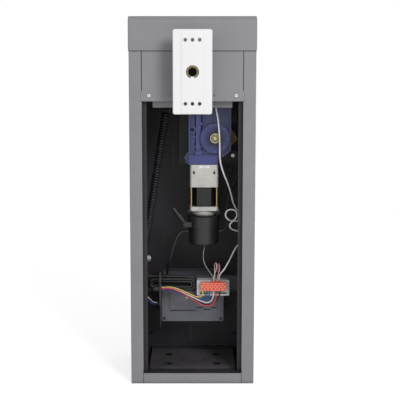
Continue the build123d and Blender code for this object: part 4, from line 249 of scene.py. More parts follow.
painted_shade_black = finish("painted_shade_black", (0.012, 0.011, 0.013), rough=0.6, drift=0.1, grain=700,
                       bump=0.2, grime_and_shade=0.2, dust=0.02)
SHADE_STRIP_FRONT, SHADE_STRIP_BACK, SHADE_STRIP_ROUND = -0.3, 1.5, 0.2
joint_shade = bmesh.new()
for joint in (-140, 140):
    add_block(joint_shade, (joint - 1.1, SHADE_STRIP_FRONT, 832), (joint + 1.1, SHADE_STRIP_BACK, 940.4),
              SHADE_STRIP_ROUND)
    add_block(joint_shade, (joint - 0.7, SHADE_STRIP_FRONT, 1), (joint + 0.7, SHADE_STRIP_BACK, 44), SHADE_STRIP_ROUND)
add_block(joint_shade, (-174, SHADE_STRIP_FRONT, 938.8), (174, SHADE_STRIP_BACK, 940.8), SHADE_STRIP_ROUND)
add_piece("panel_joint_shade", joint_shade, painted_shade_black, "housing")


# Base rails and base plate: black rails from sill to sill carry a 10 mm steel plate with four
# anchor holes and a scored knockout. The plate is coated dark and scuffed from work on it. The
# holes and rims round them are painted near black as shade.
ANCHOR_X, ANCHOR_DEPTHS, ANCHOR_SHADE_RADIUS = 0.072, (0.092, 0.180), 0.0125


def anchor_hole_shade(tree, coords):
    """1 within the plate's four anchor holes and the rims round them: painted shade."""
    parts = tree.nodes.new("ShaderNodeSeparateXYZ")
    tree.links.new(coords, parts.inputs[0])
    marks = 0.0
    for x in (-ANCHOR_X, ANCHOR_X):
        for depth in ANCHOR_DEPTHS:
            across = reckon(tree, "SUBTRACT", parts.outputs[0], x)
            back = reckon(tree, "SUBTRACT", parts.outputs[1], FRONT_Y + depth)
            squares = reckon(tree, "ADD", reckon(tree, "MULTIPLY", across, across),
                             reckon(tree, "MULTIPLY", back, back))
            hole = reckon(tree, "LESS_THAN", squares, ANCHOR_SHADE_RADIUS ** 2)
            marks = reckon(tree, "MAXIMUM", marks, hole)
    return marks


rail_paint = finish("rail_paint", (0.016, 0.015, 0.018), rough=0.6, drift=0.15, bump=0.2, grime_and_shade=0.3,
                    dust=0.05)
plate_coat_and_shade = finish("plate_coat_and_shade", (0.078, 0.072, 0.079), metal=0.1, drift=0.20, grain=300,
                    bump=0.25, grime_and_shade=0.9, dust=0.04, second=(0.006, 0.006, 0.006), where=anchor_hole_shade,
                    wear=0.25)
dress(rail_paint, "base_rails")
dress(plate_coat_and_shade, "base_plate")


# Frame plates: folded 4 mm sheet between the side walls that carries the shaft bearings. The
# front one shows a bright zinc lip below the panel. The rear one, its spacers and the plate
# that holds the gearbox are blackened.
zinc_sheet = finish("zinc_sheet", (0.19, 0.19, 0.20), rough=0.42, metal=0.35, drift=0.14, grain=260,
                    bump=0.15, grime_and_shade=0.5, dust=0.10, stretch=(1, 1, 6))
black_sheet = finish("black_sheet", (0.011, 0.010, 0.013), metal=0.1, drift=0.16, grain=400,
                     bump=0.15, grime_and_shade=0.4, dust=0.03)
dress(zinc_sheet, "front_frame_plate")
dress(black_sheet, "rear_frame_plate", "plate_spacers", "gearbox_plate")


# Shaft bearings: square flange units of grey cast iron with hardened inserts, bolted to the
# frame plates by four bolts each.
bearing_cast = finish("bearing_cast", (0.07, 0.07, 0.075), rough=0.7, metal=0.4, drift=0.25,
                      grain=500, bump=0.5)
bearing_steel = finish("bearing_steel", (0.36, 0.36, 0.37), rough=0.30, metal=1.0, grain=700,
                       grime_and_shade=0.5, dust=0.04)
bolt_zinc = finish("bolt_zinc", (0.34, 0.34, 0.35), rough=0.34, metal=1.0, drift=0.14, grain=500,
                   bump=0.15, grime_and_shade=0.6, dust=0.08)
dress(bearing_cast, "bearing_housings")
dress(bearing_steel, "bearing_inserts")
dress(bolt_zinc, "frame_bolts")


# Boom flange and hub: an extruded aluminium plate with a raised middle band, coated white, and
# the hub behind it. Six M10 holes take the boom arm's clamp.
flange_white = finish("flange_white", (0.83, 0.83, 0.835), rough=0.42, drift=0.012, grain=1500,
                      dust=0.02, stretch=(6, 1, 0.3))
dress(flange_white, "boom_plate", "boom_hub")


# Main shaft: a 35 mm turned steel shaft with a deep bore in its nose, yellow zinc plated, and
# bright square keys. It runs in the two bearings and carries the flange and levers. The bore and
# a ring round its mouth are painted near black as shade.
SHAFT_HEIGHT, BORE_SHADE_RADIUS = 0.881, 0.0118


def round_about(tree, coords, x, z, radius):
    """1 within a radius of an axis that runs from the front to the back, in metres."""
    parts = tree.nodes.new("ShaderNodeSeparateXYZ")
    tree.links.new(coords, parts.inputs[0])
    across = reckon(tree, "SUBTRACT", parts.outputs[0], x)
    rise = reckon(tree, "SUBTRACT", parts.outputs[2], z)
    squares = reckon(tree, "ADD", reckon(tree, "MULTIPLY", across, across),
                     reckon(tree, "MULTIPLY", rise, rise))
    return reckon(tree, "LESS_THAN", squares, radius ** 2)


def bore_shade(tree, coords):
    """1 on the wall and floor of the bore in the shaft's nose and a ring round its mouth: painted
    shade.
    """
    walls = in_block(tree, coords, (-0.02, FRONT_Y - 0.0745, 0.85), (0.02, FRONT_Y - 0.028, 0.91))
    bore = round_about(tree, coords, 0, SHAFT_HEIGHT, BORE_SHADE_RADIUS)
    return reckon(tree, "MULTIPLY", walls, bore)


shaft_zinc_and_shade = finish("shaft_zinc_and_shade", (0.20, 0.165, 0.085), rough=0.34, metal=0.7, drift=0.2, grain=600,
                    bump=0.15, grime_and_shade=0.5, dust=0.02, second=(0.002, 0.002, 0.002), where=bore_shade)
key_steel = finish("key_steel", (0.80, 0.80, 0.80), rough=0.22, metal=0.8, drift=0.08, bump=0.08,
                   grime_and_shade=0.1, dust=0.0)
dress(shaft_zinc_and_shade, "main_shaft")
dress(key_steel, "shaft_keys")


# Levers on the shaft: black coated 12 mm steel, keyed on. A pin in the spring lever carries a
# hardened thimble for the spring's upper hook. The lower hook's anchor bolt, in the left wall,
# is zinc plated.
lever_black = finish("lever_black", (0.014, 0.013, 0.016), rough=0.45, metal=0.2, drift=0.2,
                     grain=700, bump=0.2, wear=0.15)
pin_steel = finish("pin_steel", (0.20, 0.20, 0.21), rough=0.34, metal=1.0, grain=700, grime_and_shade=0.5,
                   dust=0.04)
anchor_zinc = finish("anchor_zinc", (0.70, 0.70, 0.72), rough=0.3, metal=0.6, drift=0.1, grain=500,
                     bump=0.1, grime_and_shade=0.4, dust=0.05)
dress(lever_black, "spring_lever", "link_lever")
dress(pin_steel, "spring_pin", "spring_thimble")
dress(anchor_zinc, "spring_anchor_bolt")


# Balance spring: close coils of 5 mm oiled black wire with a hook at each end, one round the
# anchor bolt in the left wall and one round the thimble on the lever's pin. It stretches as the
# boom turns.
SPRING_FOOT, SPRING_HEAD = place(-147.5, 146, 337), place(-70, 146, 825)
SPRING_AXIS = (SPRING_HEAD - SPRING_FOOT).normalized()
SPRING_SIDE = Vector((SPRING_AXIS.z, 0, -SPRING_AXIS.x))
SPRING_RISE, COIL_LENGTH, COIL_RADIUS, WIRE_RADIUS = 772 - 337, 402, 9.55, 2.5
LOW_HOOK, HIGH_HOOK, HOOK_BEND = 8.8, 9.35, 0.8
COIL_STEPS, STEPS_PER_TURN = 627, 12


def on_spring(along, back, across):
    """Point along the spring's axis from its lower hook, behind it and beside it, in mm."""
    return SPRING_FOOT + (SPRING_AXIS * along + Vector((0, back, 0)) + SPRING_SIDE * across) * 0.001


def smooth_line(name, points):
    """Smooth open line that follows the points, as the centre of a cable or wire."""
    curve = bpy.data.curves.new(name, "CURVE")
    curve.dimensions = "3D"
    curve.resolution_u = 10
    spline = curve.splines.new("NURBS")
    spline.points.add(len(points) - 1)
    for target, point in zip(spline.points, points):
        target.co = (*point, 1)
    spline.order_u = 3
    spline.use_endpoint_u = True
    line = bpy.data.objects.new(name, curve)
    bpy.context.scene.collection.objects.link(line)
    return line


spring_oil = finish("spring_oil", (0.030, 0.029, 0.032), rough=0.38, metal=0.4, drift=0.2,
                    grain=500, bump=0.15, grime_and_shade=0.5, dust=0.0)
full_length = (SPRING_HEAD - SPRING_FOOT).length * 1000
coil_end = SPRING_RISE / SPRING_AXIS.z - WIRE_RADIUS
coil_start = coil_end - COIL_LENGTH + 2 * WIRE_RADIUS
low_bend, high_bend = LOW_HOOK * HOOK_BEND, HIGH_HOOK * HOOK_BEND
spring_points = [on_spring(*point) for point in (
    (9, -LOW_HOOK, 0), (3, -LOW_HOOK, 0), (-low_bend, -low_bend, 0), (-LOW_HOOK, 0, 0),
    (-low_bend, low_bend, 0), (3, LOW_HOOK, 0), (coil_start - 14, LOW_HOOK, 0),
    (coil_start - 6, LOW_HOOK, 0),
)]
for step in range(COIL_STEPS + 1):
    angle = 2 * pi * step / STEPS_PER_TURN
    along = coil_start + (coil_end - coil_start) * step / COIL_STEPS
    spring_points.append(on_spring(along, COIL_RADIUS * cos(angle), COIL_RADIUS * sin(angle)))
spring_points += [on_spring(*point) for point in (
    (coil_end + 8, 0, HIGH_HOOK), (coil_end + 14, 0, HIGH_HOOK), (full_length - 3, 0, HIGH_HOOK),
    (full_length + high_bend, 0, high_bend), (full_length + HIGH_HOOK, 0, 0),
    (full_length + high_bend, 0, -high_bend), (full_length - 3, 0, -HIGH_HOOK),
    (full_length - 9, 0, -HIGH_HOOK),
)]
spring_line = smooth_line("spring_line", spring_points)
spring_line.data.resolution_u = 3
spring_line.data.bevel_depth = WIRE_RADIUS * 0.001
spring_line.data.bevel_resolution = 3
bpy.context.view_layer.update()
spring_mesh = bpy.data.meshes.new_from_object(
    spring_line.evaluated_get(bpy.context.evaluated_depsgraph_get()))
bpy.data.objects.remove(spring_line)
spring_mesh.materials.clear()
spring_mesh.materials.append(spring_oil)
for polygon in spring_mesh.polygons:
    polygon.use_smooth = True
spring_wire = bpy.data.objects.new("balance_spring_wire", spring_mesh)
bpy.context.scene.collection.objects.link(spring_wire)
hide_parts("balance_spring")
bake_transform(spring_wire)


# Output shaft, sleeve, crank and limit cam: a gilt 24 mm shaft runs through the worm wheel's dark
# sleeve, with a polished ring at the front. Behind the gearbox it carries the black crank and a
# cam in brown-yellow zinc.
DRIVE_X, DRIVE_Z = 65, 697
shaft_gold = finish("shaft_gold", (0.24, 0.215, 0.075), rough=0.32, metal=0.7, drift=0.4, grain=160,
                    grime_and_shade=0.6, dust=0.02)
sleeve_dark = finish("sleeve_dark", (0.010, 0.009, 0.010), rough=0.4, metal=0.5, drift=0.2,
                     grain=400, grime_and_shade=0.4, dust=0.0)
cam_zinc = finish("cam_zinc", (0.17, 0.105, 0.040), rough=0.38, metal=0.6, drift=0.25, grain=180,
                  grime_and_shade=0.5, dust=0.02)
ring_bright = finish("ring_bright", (0.62, 0.60, 0.60), rough=0.28, metal=0.9, drift=0.1, grain=700,
                     bump=0.1, grime_and_shade=0.2, dust=0.0)
dress(shaft_gold, "output_shaft")
dress(sleeve_dark, "output_sleeve")
dress(lever_black, "crank_arm")
dress(cam_zinc, "limit_cam")


def add_ring(work, centre, inner, outer, thickness, steps=48):
    """Flat ring facing the front, spun from its section; centre is X, depth and height."""
    middle = place(*centre)
    section = [(inner, 0), (outer, 0), (outer, -thickness), (inner, -thickness)]
    verts = [work.verts.new(middle + Vector((radius * 0.001, depth * 0.001, 0)))
             for radius, depth in section]
    edges = [work.edges.new((verts[corner], verts[(corner + 1) % 4])) for corner in range(4)]
    bmesh.ops.spin(work, geom=verts + edges, cent=middle, axis=(0, 1, 0), dvec=(0, 0, 0),
                   angle=2 * pi, steps=steps, use_merge=True, use_duplicate=False)


rings = bmesh.new()
add_ring(rings, (DRIVE_X, 92, DRIVE_Z), 12.3, 13.9, 0.7)
add_ring(rings, (DRIVE_X, 89, DRIVE_Z), 1.2, 3.4, 0.5, 24)
add_piece("output_rings", rings, ring_bright, "crank")


# Connecting rod: a threaded bar with a rod end and a lock nut at each end, between the crank's
# pin and the link lever's pin.
rod_steel = finish("rod_steel", (0.13, 0.13, 0.135), rough=0.4, metal=0.8, drift=0.15, grain=500,
                   bump=0.2, grime_and_shade=0.5, dust=0.02)
dress(rod_steel, "connecting_rod")


# End stops and limit switch: black rubber buffers on screws meet the crank at both ends of its
# swing, and a black switch on the gearbox plate feels the cam with its leaf.
buffer_rubber = finish("buffer_rubber", (0.010, 0.009, 0.011), rough=0.55, drift=0.25, grain=500,
                       bump=0.3)
screw_bright = finish("screw_bright", (0.60, 0.60, 0.61), rough=0.25, metal=0.9, drift=0.08,
                      bump=0.08, grime_and_shade=0.4, dust=0.02)
switch_black = finish("switch_black", (0.014, 0.014, 0.016), rough=0.45, drift=0.15, bump=0.2,
                      grime_and_shade=0.3, dust=0.02)
dress(buffer_rubber, "stop_buffers")
dress(screw_bright, "buffer_screws")
dress(switch_black, "limit_switch")


# Worm gearbox: a ribbed casting in blue enamel with its cover, cover screws and shaft seal, and
# two painted bolts and a cast block on its left. It sits on the gearbox plate, and the motor
# hangs under its foot.
def in_seal_groove(tree, coords):
    """1 in the black lip of the shaft seal."""
    outer, inner = [round_about(tree, coords, DRIVE_X * 0.001, DRIVE_Z * 0.001, radius)
                    for radius in (0.0235, 0.0205)]
    return reckon(tree, "SUBTRACT", outer, inner)


gearbox_blue = finish("gearbox_blue", (0.022, 0.030, 0.150), rough=0.36, drift=0.22, grain=420,
                      bump=0.4, grime_and_shade=0.9, dust=0.06, coat=0.3, wear=0.10)
cover_blue = finish("cover_blue", (0.020, 0.028, 0.135), rough=0.34, drift=0.22, grain=420,
                    bump=0.35, grime_and_shade=0.9, dust=0.05, coat=0.3)
bolt_blue = finish("bolt_blue", (0.045, 0.075, 0.25), rough=0.30, metal=0.1, drift=0.2, grain=500,
                   bump=0.2, grime_and_shade=0.8, dust=0.05, coat=0.3)
seal_blue = finish("seal_blue", (0.020, 0.028, 0.135), rough=0.4, drift=0.2, grain=500, bump=0.2,
                   grime_and_shade=0.5, dust=0.0, second=(0.006, 0.006, 0.007), where=in_seal_groove)
dress(gearbox_blue, "gearbox_housing")
dress(cover_blue, "gearbox_cover")
dress(bolt_blue, "gearbox_screws")
dress(seal_blue, "output_seal")


def add_hexagon(work, centre, radius, height):
    """Hexagon head facing the front with a turned corner; centre is X, depth and height."""
    made = bmesh.ops.create_cone(work, cap_ends=True, segments=6, radius1=radius * 0.001,
                                 radius2=radius * 0.00088, depth=height * 0.001)["verts"]
    for vertex in made:
        vertex.co = Vector((vertex.co.x, -vertex.co.z, vertex.co.y))
    bmesh.ops.translate(work, verts=made, vec=place(*centre) + Vector((0, -height * 0.0005, 0)))


casting_bolts = bmesh.new()
for x, z in ((24.7, 739), (17, 654.5)):
    add_hexagon(casting_bolts, (x, 112, z), 4.4, 18)
add_piece("casting_bolts", casting_bolts, bolt_blue, "housing")
casting_block = bmesh.new()
add_block(casting_block, (6.6, 96, 648.5), (30, 112, 663), 1.2)
add_piece("casting_block", casting_block, gearbox_blue, "housing")


# Gearmotor: a square cast gearhead, with two bright pads and two dark notches in its front, over
# a black stamped stack with four gilt tie rods, and a cast end bell below. It hangs from the
# gearbox's foot by four flange screws.
cast_silver = finish("cast_silver", (0.50, 0.485, 0.46), rough=0.42, metal=0.15, drift=0.16,
                     grain=260, bump=0.35, grime_and_shade=0.75, dust=0.04, stretch=(1, 1, 2.5))
stack_black = finish("stack_black", (0.009, 0.009, 0.010), rough=0.36, metal=0.3, drift=0.2,
                     bump=0.25, stretch=(1, 1, 12))
rod_gilt = finish("rod_gilt", (0.42, 0.31, 0.13), rough=0.3, metal=0.9, drift=0.15, grain=500,
                  bump=0.1)
dress(cast_silver, "motor_gearhead", "motor_end_bell")
dress(stack_black, "motor_body")
dress(rod_gilt, "tie_rods")
notches = bmesh.new()
for x in (4, 63):
    add_block(notches, (x - 3, 95.5, 593), (x + 3, 97.5, 601), 0.8)
add_piece("gearhead_notches", notches, stack_black, "housing")
pads = bmesh.new()
for left, right in ((18, 33), (36, 51)):
    add_block(pads, (left, 95.2, 611.5), (right, 97, 618), 0.7)
add_piece("gearhead_pads", pads, screw_bright, "housing")


# Brake cover: a moulded black cup over the motor's brake, with ears for the hand release lever
# and a short ridge with a screw at the front.
cover_black = finish("cover_black", (0.0085, 0.0085, 0.0095), rough=0.48, drift=0.18, grain=1300,
                     bump=0.4, grime_and_shade=0.4, dust=0.04)
dress(cover_black, "brake_cover", "brake_release_lever")


# Cross bar and brackets: folded sheet between the side walls. The bar carries the bracket of
# the control box and that of the terminal module.
bar_paint = finish("bar_paint", (0.030, 0.030, 0.037), rough=0.45, metal=0.2, grain=300, wear=0.08)
dress(bar_paint, "cross_bar", "box_bracket", "module_bracket")


# Control box: a moulded grey box with a screwed lid. The lid has a raised field with a stepped
# lower edge, deep screw wells in its corners and a white lamp dot. The wells are painted near
# black as shade, and a black strip below the field's lower edge is painted shade.
WELL_X, WELL_HEIGHTS, WELL_RADIUS = 0.0855, (0.151, 0.270), 0.0048


def well_shade(tree, coords):
    """1 in the lid's four screw wells: painted shade."""
    wells = 0.0
    for x in (-WELL_X, WELL_X):
        for z in WELL_HEIGHTS:
            wells = reckon(tree, "MAXIMUM", wells, round_about(tree, coords, x, z, WELL_RADIUS))
    return wells


box_grey = finish("box_grey", (0.105, 0.108, 0.132), drift=0.06, grain=1600, bump=0.35, grime_and_shade=0.5,
                  dust=0.06)
lid_grey_and_shade = finish("lid_grey_and_shade", (0.125, 0.127, 0.152), rough=0.46, drift=0.06, grain=1600, bump=0.35,
                  grime_and_shade=0.9, dust=0.06, second=(0.004, 0.004, 0.005), where=well_shade)
shadow_black = finish("shadow_black", (0.006, 0.006, 0.007), rough=0.6, drift=0.1, grain=600,
                      bump=0.1, grime_and_shade=0.2, dust=0.0)
lamp_white = finish("lamp_white", (0.80, 0.80, 0.82), rough=0.3, drift=0.03, grain=600, bump=0.05,
                    grime_and_shade=0.1, dust=0.0)
dress(box_grey, "control_box")
dress(lid_grey_and_shade, "control_box_lid")
# Painted shade: a black strip below the raised field's lower edge.
lid_step_shade = bmesh.new()
for left, right, edge in ((-68, 8, 178), (8, 34, 187), (34, 54, 181), (54, 73, 187)):
    add_block(lid_step_shade, (left, 149.6, edge - 3.6), (right, 150.2, edge + 0.2))
add_piece("lid_step_shade", lid_step_shade, shadow_black, "housing")
lamp = bmesh.new()
bmesh.ops.create_uvsphere(lamp, u_segments=20, v_segments=10, radius=0.0026)
bmesh.ops.scale(lamp, vec=(1, 0.5, 1), verts=lamp.verts)
bmesh.ops.translate(lamp, verts=lamp.verts, vec=place(-17.7, 147.6, 215.7))
add_piece("lid_lamp", lamp, lamp_white, "housing")


# Terminal module: a light grey moulding on the bracket, with black strips painted as shade in the
# slot along its foot. An orange plug with three rows of sockets stands on its front and takes the
# wires; the sockets' floors are painted dark red as shade.
def socket_shade(tree, coords):
    """1 on the floors of the plug's sockets: painted shade."""
    return in_block(tree, coords, (0.0255, FRONT_Y + 0.0786, 0.2545),
                    (0.0975, FRONT_Y + 0.0825, 0.2755))


module_grey = finish("module_grey", (0.56, 0.57, 0.60), rough=0.45, drift=0.05, grain=1200,
                     bump=0.2, grime_and_shade=0.7, dust=0.05)
plug_orange = finish("plug_orange", (0.86, 0.17, 0.095), rough=0.38, drift=0.08, bump=0.15,
                     grime_and_shade=0.9, dust=0.02, coat=0.2, second=(0.16, 0.010, 0.010), where=socket_shade)
dress(module_grey, "terminal_module")
dress(plug_orange, "plug_connector")
# Painted shade: black strips in the slot along the module's foot.
slot_shade = bmesh.new()
add_block(slot_shade, (21.5, 94.6, 240.8), (45, 95.8, 244.2), 0.3)
add_block(slot_shade, (70, 94.6, 240.8), (99.5, 95.8, 244.2), 0.3)
add_piece("module_slot_shade", slot_shade, shadow_black, "housing")


# Glands, sleeves and strap: black moulded cable entries, the heat-shrink sleeves that the
# harnesses come out of, and the nylon tie that holds the hank to the cross bar.
nylon_black = finish("nylon_black", (0.010, 0.010, 0.011), drift=0.2, grain=700, bump=0.2,
                     grime_and_shade=0.4, dust=0.05)
dress(nylon_black, "cable_sleeves", "cable_glands", "hank_strap")


# White cable: 4.5 mm, soft, 0.73 m from the clip on the front frame plate's lip down past the
# gearbox, in two loose loops beside the brake and into the terminal module.
def line_length(line):
    """Length of a line as it is drawn, in metres."""
    bpy.context.view_layer.update()
    evaluated = line.evaluated_get(bpy.context.evaluated_depsgraph_get())
    mesh = bpy.data.meshes.new_from_object(evaluated)
    points = [vertex.co.copy() for vertex in mesh.vertices]
    bpy.data.meshes.remove(mesh)
    return sum((later - earlier).length for earlier, later in zip(points, points[1:]))


def lay_cord(name, route, diameter, material, node):
    """Cord along a route of X, depth and height in millimetres, in place of its node's solid."""
    points = [place(*point) for point in route]
    line = smooth_line(name, points)
    length = line_length(line)
    line.data.bevel_depth = diameter * 0.0005
    line.data.bevel_resolution = 5
    line.data.materials.append(material)
    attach(line, "housing")
    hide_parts(node)


jacket_white = finish("jacket_white", (0.80, 0.80, 0.805), rough=0.45, drift=0.06, grain=500,
                      grime_and_shade=0.5, dust=0.03)
lay_cord("white_cable_line", [
    (64, 46, 812), (64, 46, 801), (66, 55, 787), (69, 66, 770), (73, 76, 748), (76, 81, 720),
    (78, 83, 690), (78, 83, 660), (79, 83, 634), (84, 84, 612), (93, 87, 588), (104, 91, 562),
    (112, 94, 536), (117, 97, 514), (124, 101, 496), (134, 104, 484), (143, 104, 474),
    (143, 101, 463), (134, 97, 457), (121, 95, 456), (108, 94, 458), (98, 93, 466), (95, 91, 478),
    (101, 88, 489), (113, 84, 493), (125, 80, 489), (130, 78, 478), (125, 78, 466), (114, 79, 457),
    (107, 81, 447), (110, 84, 437), (121, 88, 431), (135, 92, 427), (145, 94, 418), (147, 94, 406),
    (140, 91, 395), (128, 88, 382), (117, 87, 362), (106, 87, 338), (94, 89, 316), (82, 94, 301),
    (77, 98, 290), (77, 98, 281),
], 4.5, jacket_white, "white_cable")


# Motor and brake cables: 7 mm black rubber leads, one from the brake cover's left gland to the
# control box and one from its right gland up to the limit switch.
jacket_black = finish("jacket_black", (0.009, 0.009, 0.010), drift=0.2, grain=700, bump=0.2,
                      grime_and_shade=0.4, dust=0.03)
lay_cord("motor_cable_line", [
    (-16.5, 137, 421), (-31, 137, 421), (-44, 134, 407), (-52, 130, 387), (-59, 128, 364),
    (-66, 132, 341), (-72, 142, 321), (-75, 154, 306), (-76, 164, 292), (-76, 164, 278),
], 7, jacket_black, "motor_cables")
lay_cord("brake_cable_line", [
    (83.5, 137, 421), (94, 137, 421), (101, 138, 432), (103, 139, 445), (101, 141, 463),
    (101, 143, 484), (104, 146, 508), (111, 151, 534), (122, 158, 561), (137, 164, 589),
    (147, 168, 623), (151, 174, 660), (151, 182, 692), (152, 190, 714), (151, 193.5, 731),
    (145, 193.5, 746), (132.5, 193.5, 746),
], 7, jacket_black, "motor_cables")


# Plug wires: 3 mm single cores from the bundle sleeve in a low bow to the plug's foot, with a
# black one from the control box's lid. Each colour is its own glossy jacket.
WIRE = 3


def wire_jacket(name, colour, rough=0.38, drift=0.1):
    return finish(name, colour, rough=rough, drift=drift, grain=800, bump=0.1, grime_and_shade=0.4, dust=0.0)


wire_looks = {
    "red": wire_jacket("wire_red", (0.66, 0.035, 0.040)),
    "white": wire_jacket("wire_white", (0.80, 0.79, 0.78), rough=0.40, drift=0.06),
    "yellow": wire_jacket("wire_yellow", (0.80, 0.54, 0.10), drift=0.08),
    "blue": wire_jacket("wire_blue", (0.050, 0.095, 0.40)),
    "teal": wire_jacket("wire_teal", (0.030, 0.16, 0.17)),
    "black": wire_jacket("wire_black", (0.010, 0.010, 0.011)),
}
plug_routes = {
    "red": [
        (-91.5, 86, 257), (-83, 86, 257), (-71, 83, 259), (-56, 81, 256.5), (-38, 80, 250),
        (-18, 79.5, 240), (2, 80, 225), (21, 82, 212), (40, 84, 206), (56, 85, 208.5),
        (66, 86, 219), (69, 86.5, 232), (69, 85, 244), (69, 85, 253),
    ],
    "white": [
        (-91.5, 90, 258), (-83, 90, 258), (-71, 87.5, 260), (-54, 86.5, 257), (-35, 85, 249),
        (-14, 83.8, 239.5), (6, 84, 230), (25, 85, 220.5), (41, 86, 215), (53, 86.5, 218.5),
        (60, 86.5, 229), (61.5, 85.5, 242), (61.5, 85, 253),
    ],
    "yellow": [
        (-91.5, 86, 261.5), (-83, 86, 261.5), (-71, 83.5, 263.5), (-54, 82, 262), (-35, 82, 255),
        (-16, 83, 246), (0, 84.5, 238), (13, 86, 233), (23, 87.5, 232), (29, 87.5, 237),
        (30, 85.5, 245), (30, 85, 253),
    ],
    "blue": [
        (-91.5, 91, 252), (-83, 91, 252), (-71, 89, 253.5), (-54, 88, 249.5), (-31, 88, 241.5),
        (-6, 88.5, 233), (14, 88.5, 226), (32, 88, 222.5), (44, 88, 226), (49.5, 87, 234.5),
        (50, 85.5, 244), (50, 85, 253),
    ],
    "teal": [
        (-91.5, 94, 254), (-83, 94, 254), (-71, 93, 256.5), (-53, 92, 253), (-29, 92, 245.5),
        (-6, 92, 238), (12, 92, 231), (26, 91, 228.5), (36, 89.5, 231), (41, 87.5, 237.5),
        (41.5, 85.5, 245), (41, 85, 253),
    ],
    "black": [
        (10, 147.5, 228), (10, 139, 228), (14, 128, 221), (24, 115, 210), (39, 105, 203.5),
        (56, 99, 207), (69, 94, 219), (77, 90, 232), (81, 86.5, 243), (82, 85, 253),
    ],
}
for colour, route in plug_routes.items():
    lay_cord(f"plug_wire_{colour}", route, WIRE, wire_looks[colour], "plug_wires")


# Side wires: a white and a blue 3 mm core from the sleeve at the left wall, down and inwards to
# the control box's gland.
lay_cord("side_wire_white", [
    (-140, 112, 262), (-140, 112, 254), (-141.5, 114, 243), (-138, 118, 231), (-130, 126, 219),
    (-123, 138, 209), (-119, 150, 202), (-113, 158, 198.5), (-105, 158, 198.5),
], WIRE, wire_looks["white"], "side_wires")
lay_cord("side_wire_blue", [
    (-144, 116, 262), (-144, 116, 254), (-147.5, 118, 242), (-144, 122, 227), (-134, 130, 213),
    (-126, 142, 202), (-121, 154, 195), (-113, 160.5, 193.5), (-105, 160.5, 193.5),
], WIRE, wire_looks["blue"], "side_wires")


# Jumper wires: a cream and a pink core that loop up from the plug's head and back into the
# module, and a thin grey one that hangs from the brake cover.
THIN_WIRE = 2.5
wire_cream = wire_jacket("wire_cream", (0.60, 0.50, 0.42), rough=0.40, drift=0.06)
wire_pink = wire_jacket("wire_pink", (0.56, 0.23, 0.27), rough=0.40, drift=0.06)
wire_grey = wire_jacket("wire_grey", (0.30, 0.30, 0.31), rough=0.45, drift=0.08)
lay_cord("jumper_wire_cream", [
    (61.5, 85.5, 281), (61.5, 85.5, 289), (64, 85.5, 300), (69, 87, 313), (71, 90, 325),
    (69, 97, 333), (65.5, 104.5, 329), (64.5, 109, 318), (65.5, 111, 303), (66, 111, 290),
    (66, 111, 281),
], WIRE, wire_cream, "jumper_wires")
lay_cord("jumper_wire_pink", [
    (72.2, 85.5, 281), (72.2, 85.5, 289), (75, 85.5, 300), (79, 87, 313), (79, 90, 324),
    (77, 97, 331), (75, 104, 326), (74.5, 108, 316), (76, 110, 303), (78, 111, 290),
    (78, 111, 281),
], WIRE, wire_pink, "jumper_wires")
lay_cord("jumper_wire_grey", [
    (36, 130, 384), (36, 129, 376), (33, 124, 363), (31, 116, 347), (34, 108, 330), (43, 101, 314),
    (54, 96.5, 301), (59, 96, 290), (59, 96, 281),
], THIN_WIRE, wire_grey, "jumper_wires")


# Cable hank: 2.3 m of 6 mm black lead wound in flat loops, four layers of two, from the sleeve
# at the left wall to the bundle sleeve. A nylon tie holds it on the cross bar.
HANK_LEFT, HANK_RIGHT, HANK_Z, HANK_FRONT = -112, -10.5, 268.5, 101.5
HANK_RADIUS, HANK_PITCH, HANK_LAYERS, HANK_LOOPS, HANK_SLANT = 6, 7.1, 4, 2, 0.83
hank_back = HANK_FRONT + (HANK_LAYERS - 1) * HANK_PITCH
hank_top = HANK_Z + (HANK_RADIUS + HANK_PITCH * HANK_LOOPS)
hank_points = [(-142, 114, 272), (-142, 115, 281), (-134, 119, hank_top),
               (HANK_LEFT, hank_back, hank_top)]
for layer in reversed(range(HANK_LAYERS)):
    depth = hank_back - (HANK_LAYERS - 1 - layer) * HANK_PITCH
    last_step = 6 * HANK_LOOPS if layer else 6 * HANK_LOOPS - 2
    for step in range(1, last_step + 1):
        growth = HANK_LOOPS - step / 6 if layer % 2 else step / 6
        radius = HANK_RADIUS + HANK_PITCH * growth
        slant = radius * HANK_SLANT
        bends = (
            [(HANK_RIGHT, radius), (HANK_RIGHT + slant, slant)],
            [(HANK_RIGHT + radius, 0)],
            [(HANK_RIGHT + slant, -slant), (HANK_RIGHT, -radius)],
            [(HANK_LEFT, -radius), (HANK_LEFT - slant, -slant)],
            [(HANK_LEFT - radius, 0)],
            [(HANK_LEFT - slant, slant), (HANK_LEFT, radius)],
        )
        hank_points += [(x, depth, HANK_Z + rise) for x, rise in bends[(step - 1) % 6]]
hank_points.pop()
hank_foot = hank_points[-1][2]
hank_points += [
    (-119, HANK_FRONT, hank_foot), (-121.5, 98, hank_foot + 1.5), (-121.5, 92.5, 256),
    (-119, 89.2, 257), (-112.5, 89.2, 257),
]
lay_cord("cable_hank_line", hank_points, 6, jacket_black, "cable_hank")


# Cover screws: zinc plated pan heads that hold the front panel and rear cover. Those inside the
# cabinet are painted near black as shade, and the two front ones have thin black crosses painted
# as the shade in their cross recesses.
head_zinc_and_shade = finish("head_zinc_and_shade", (0.78, 0.78, 0.79), rough=0.24, metal=0.75, drift=0.08, bump=0.08,
                   grime_and_shade=0.3, dust=0.02, second=(0.012, 0.011, 0.013), where=in_interior_shade)
dress(head_zinc_and_shade, "cover_screws")
SCREW_HEIGHT, HEAD_FACE, CROSS_REACH, CROSS_HALF = 819, -3.2, 2.2, 0.45
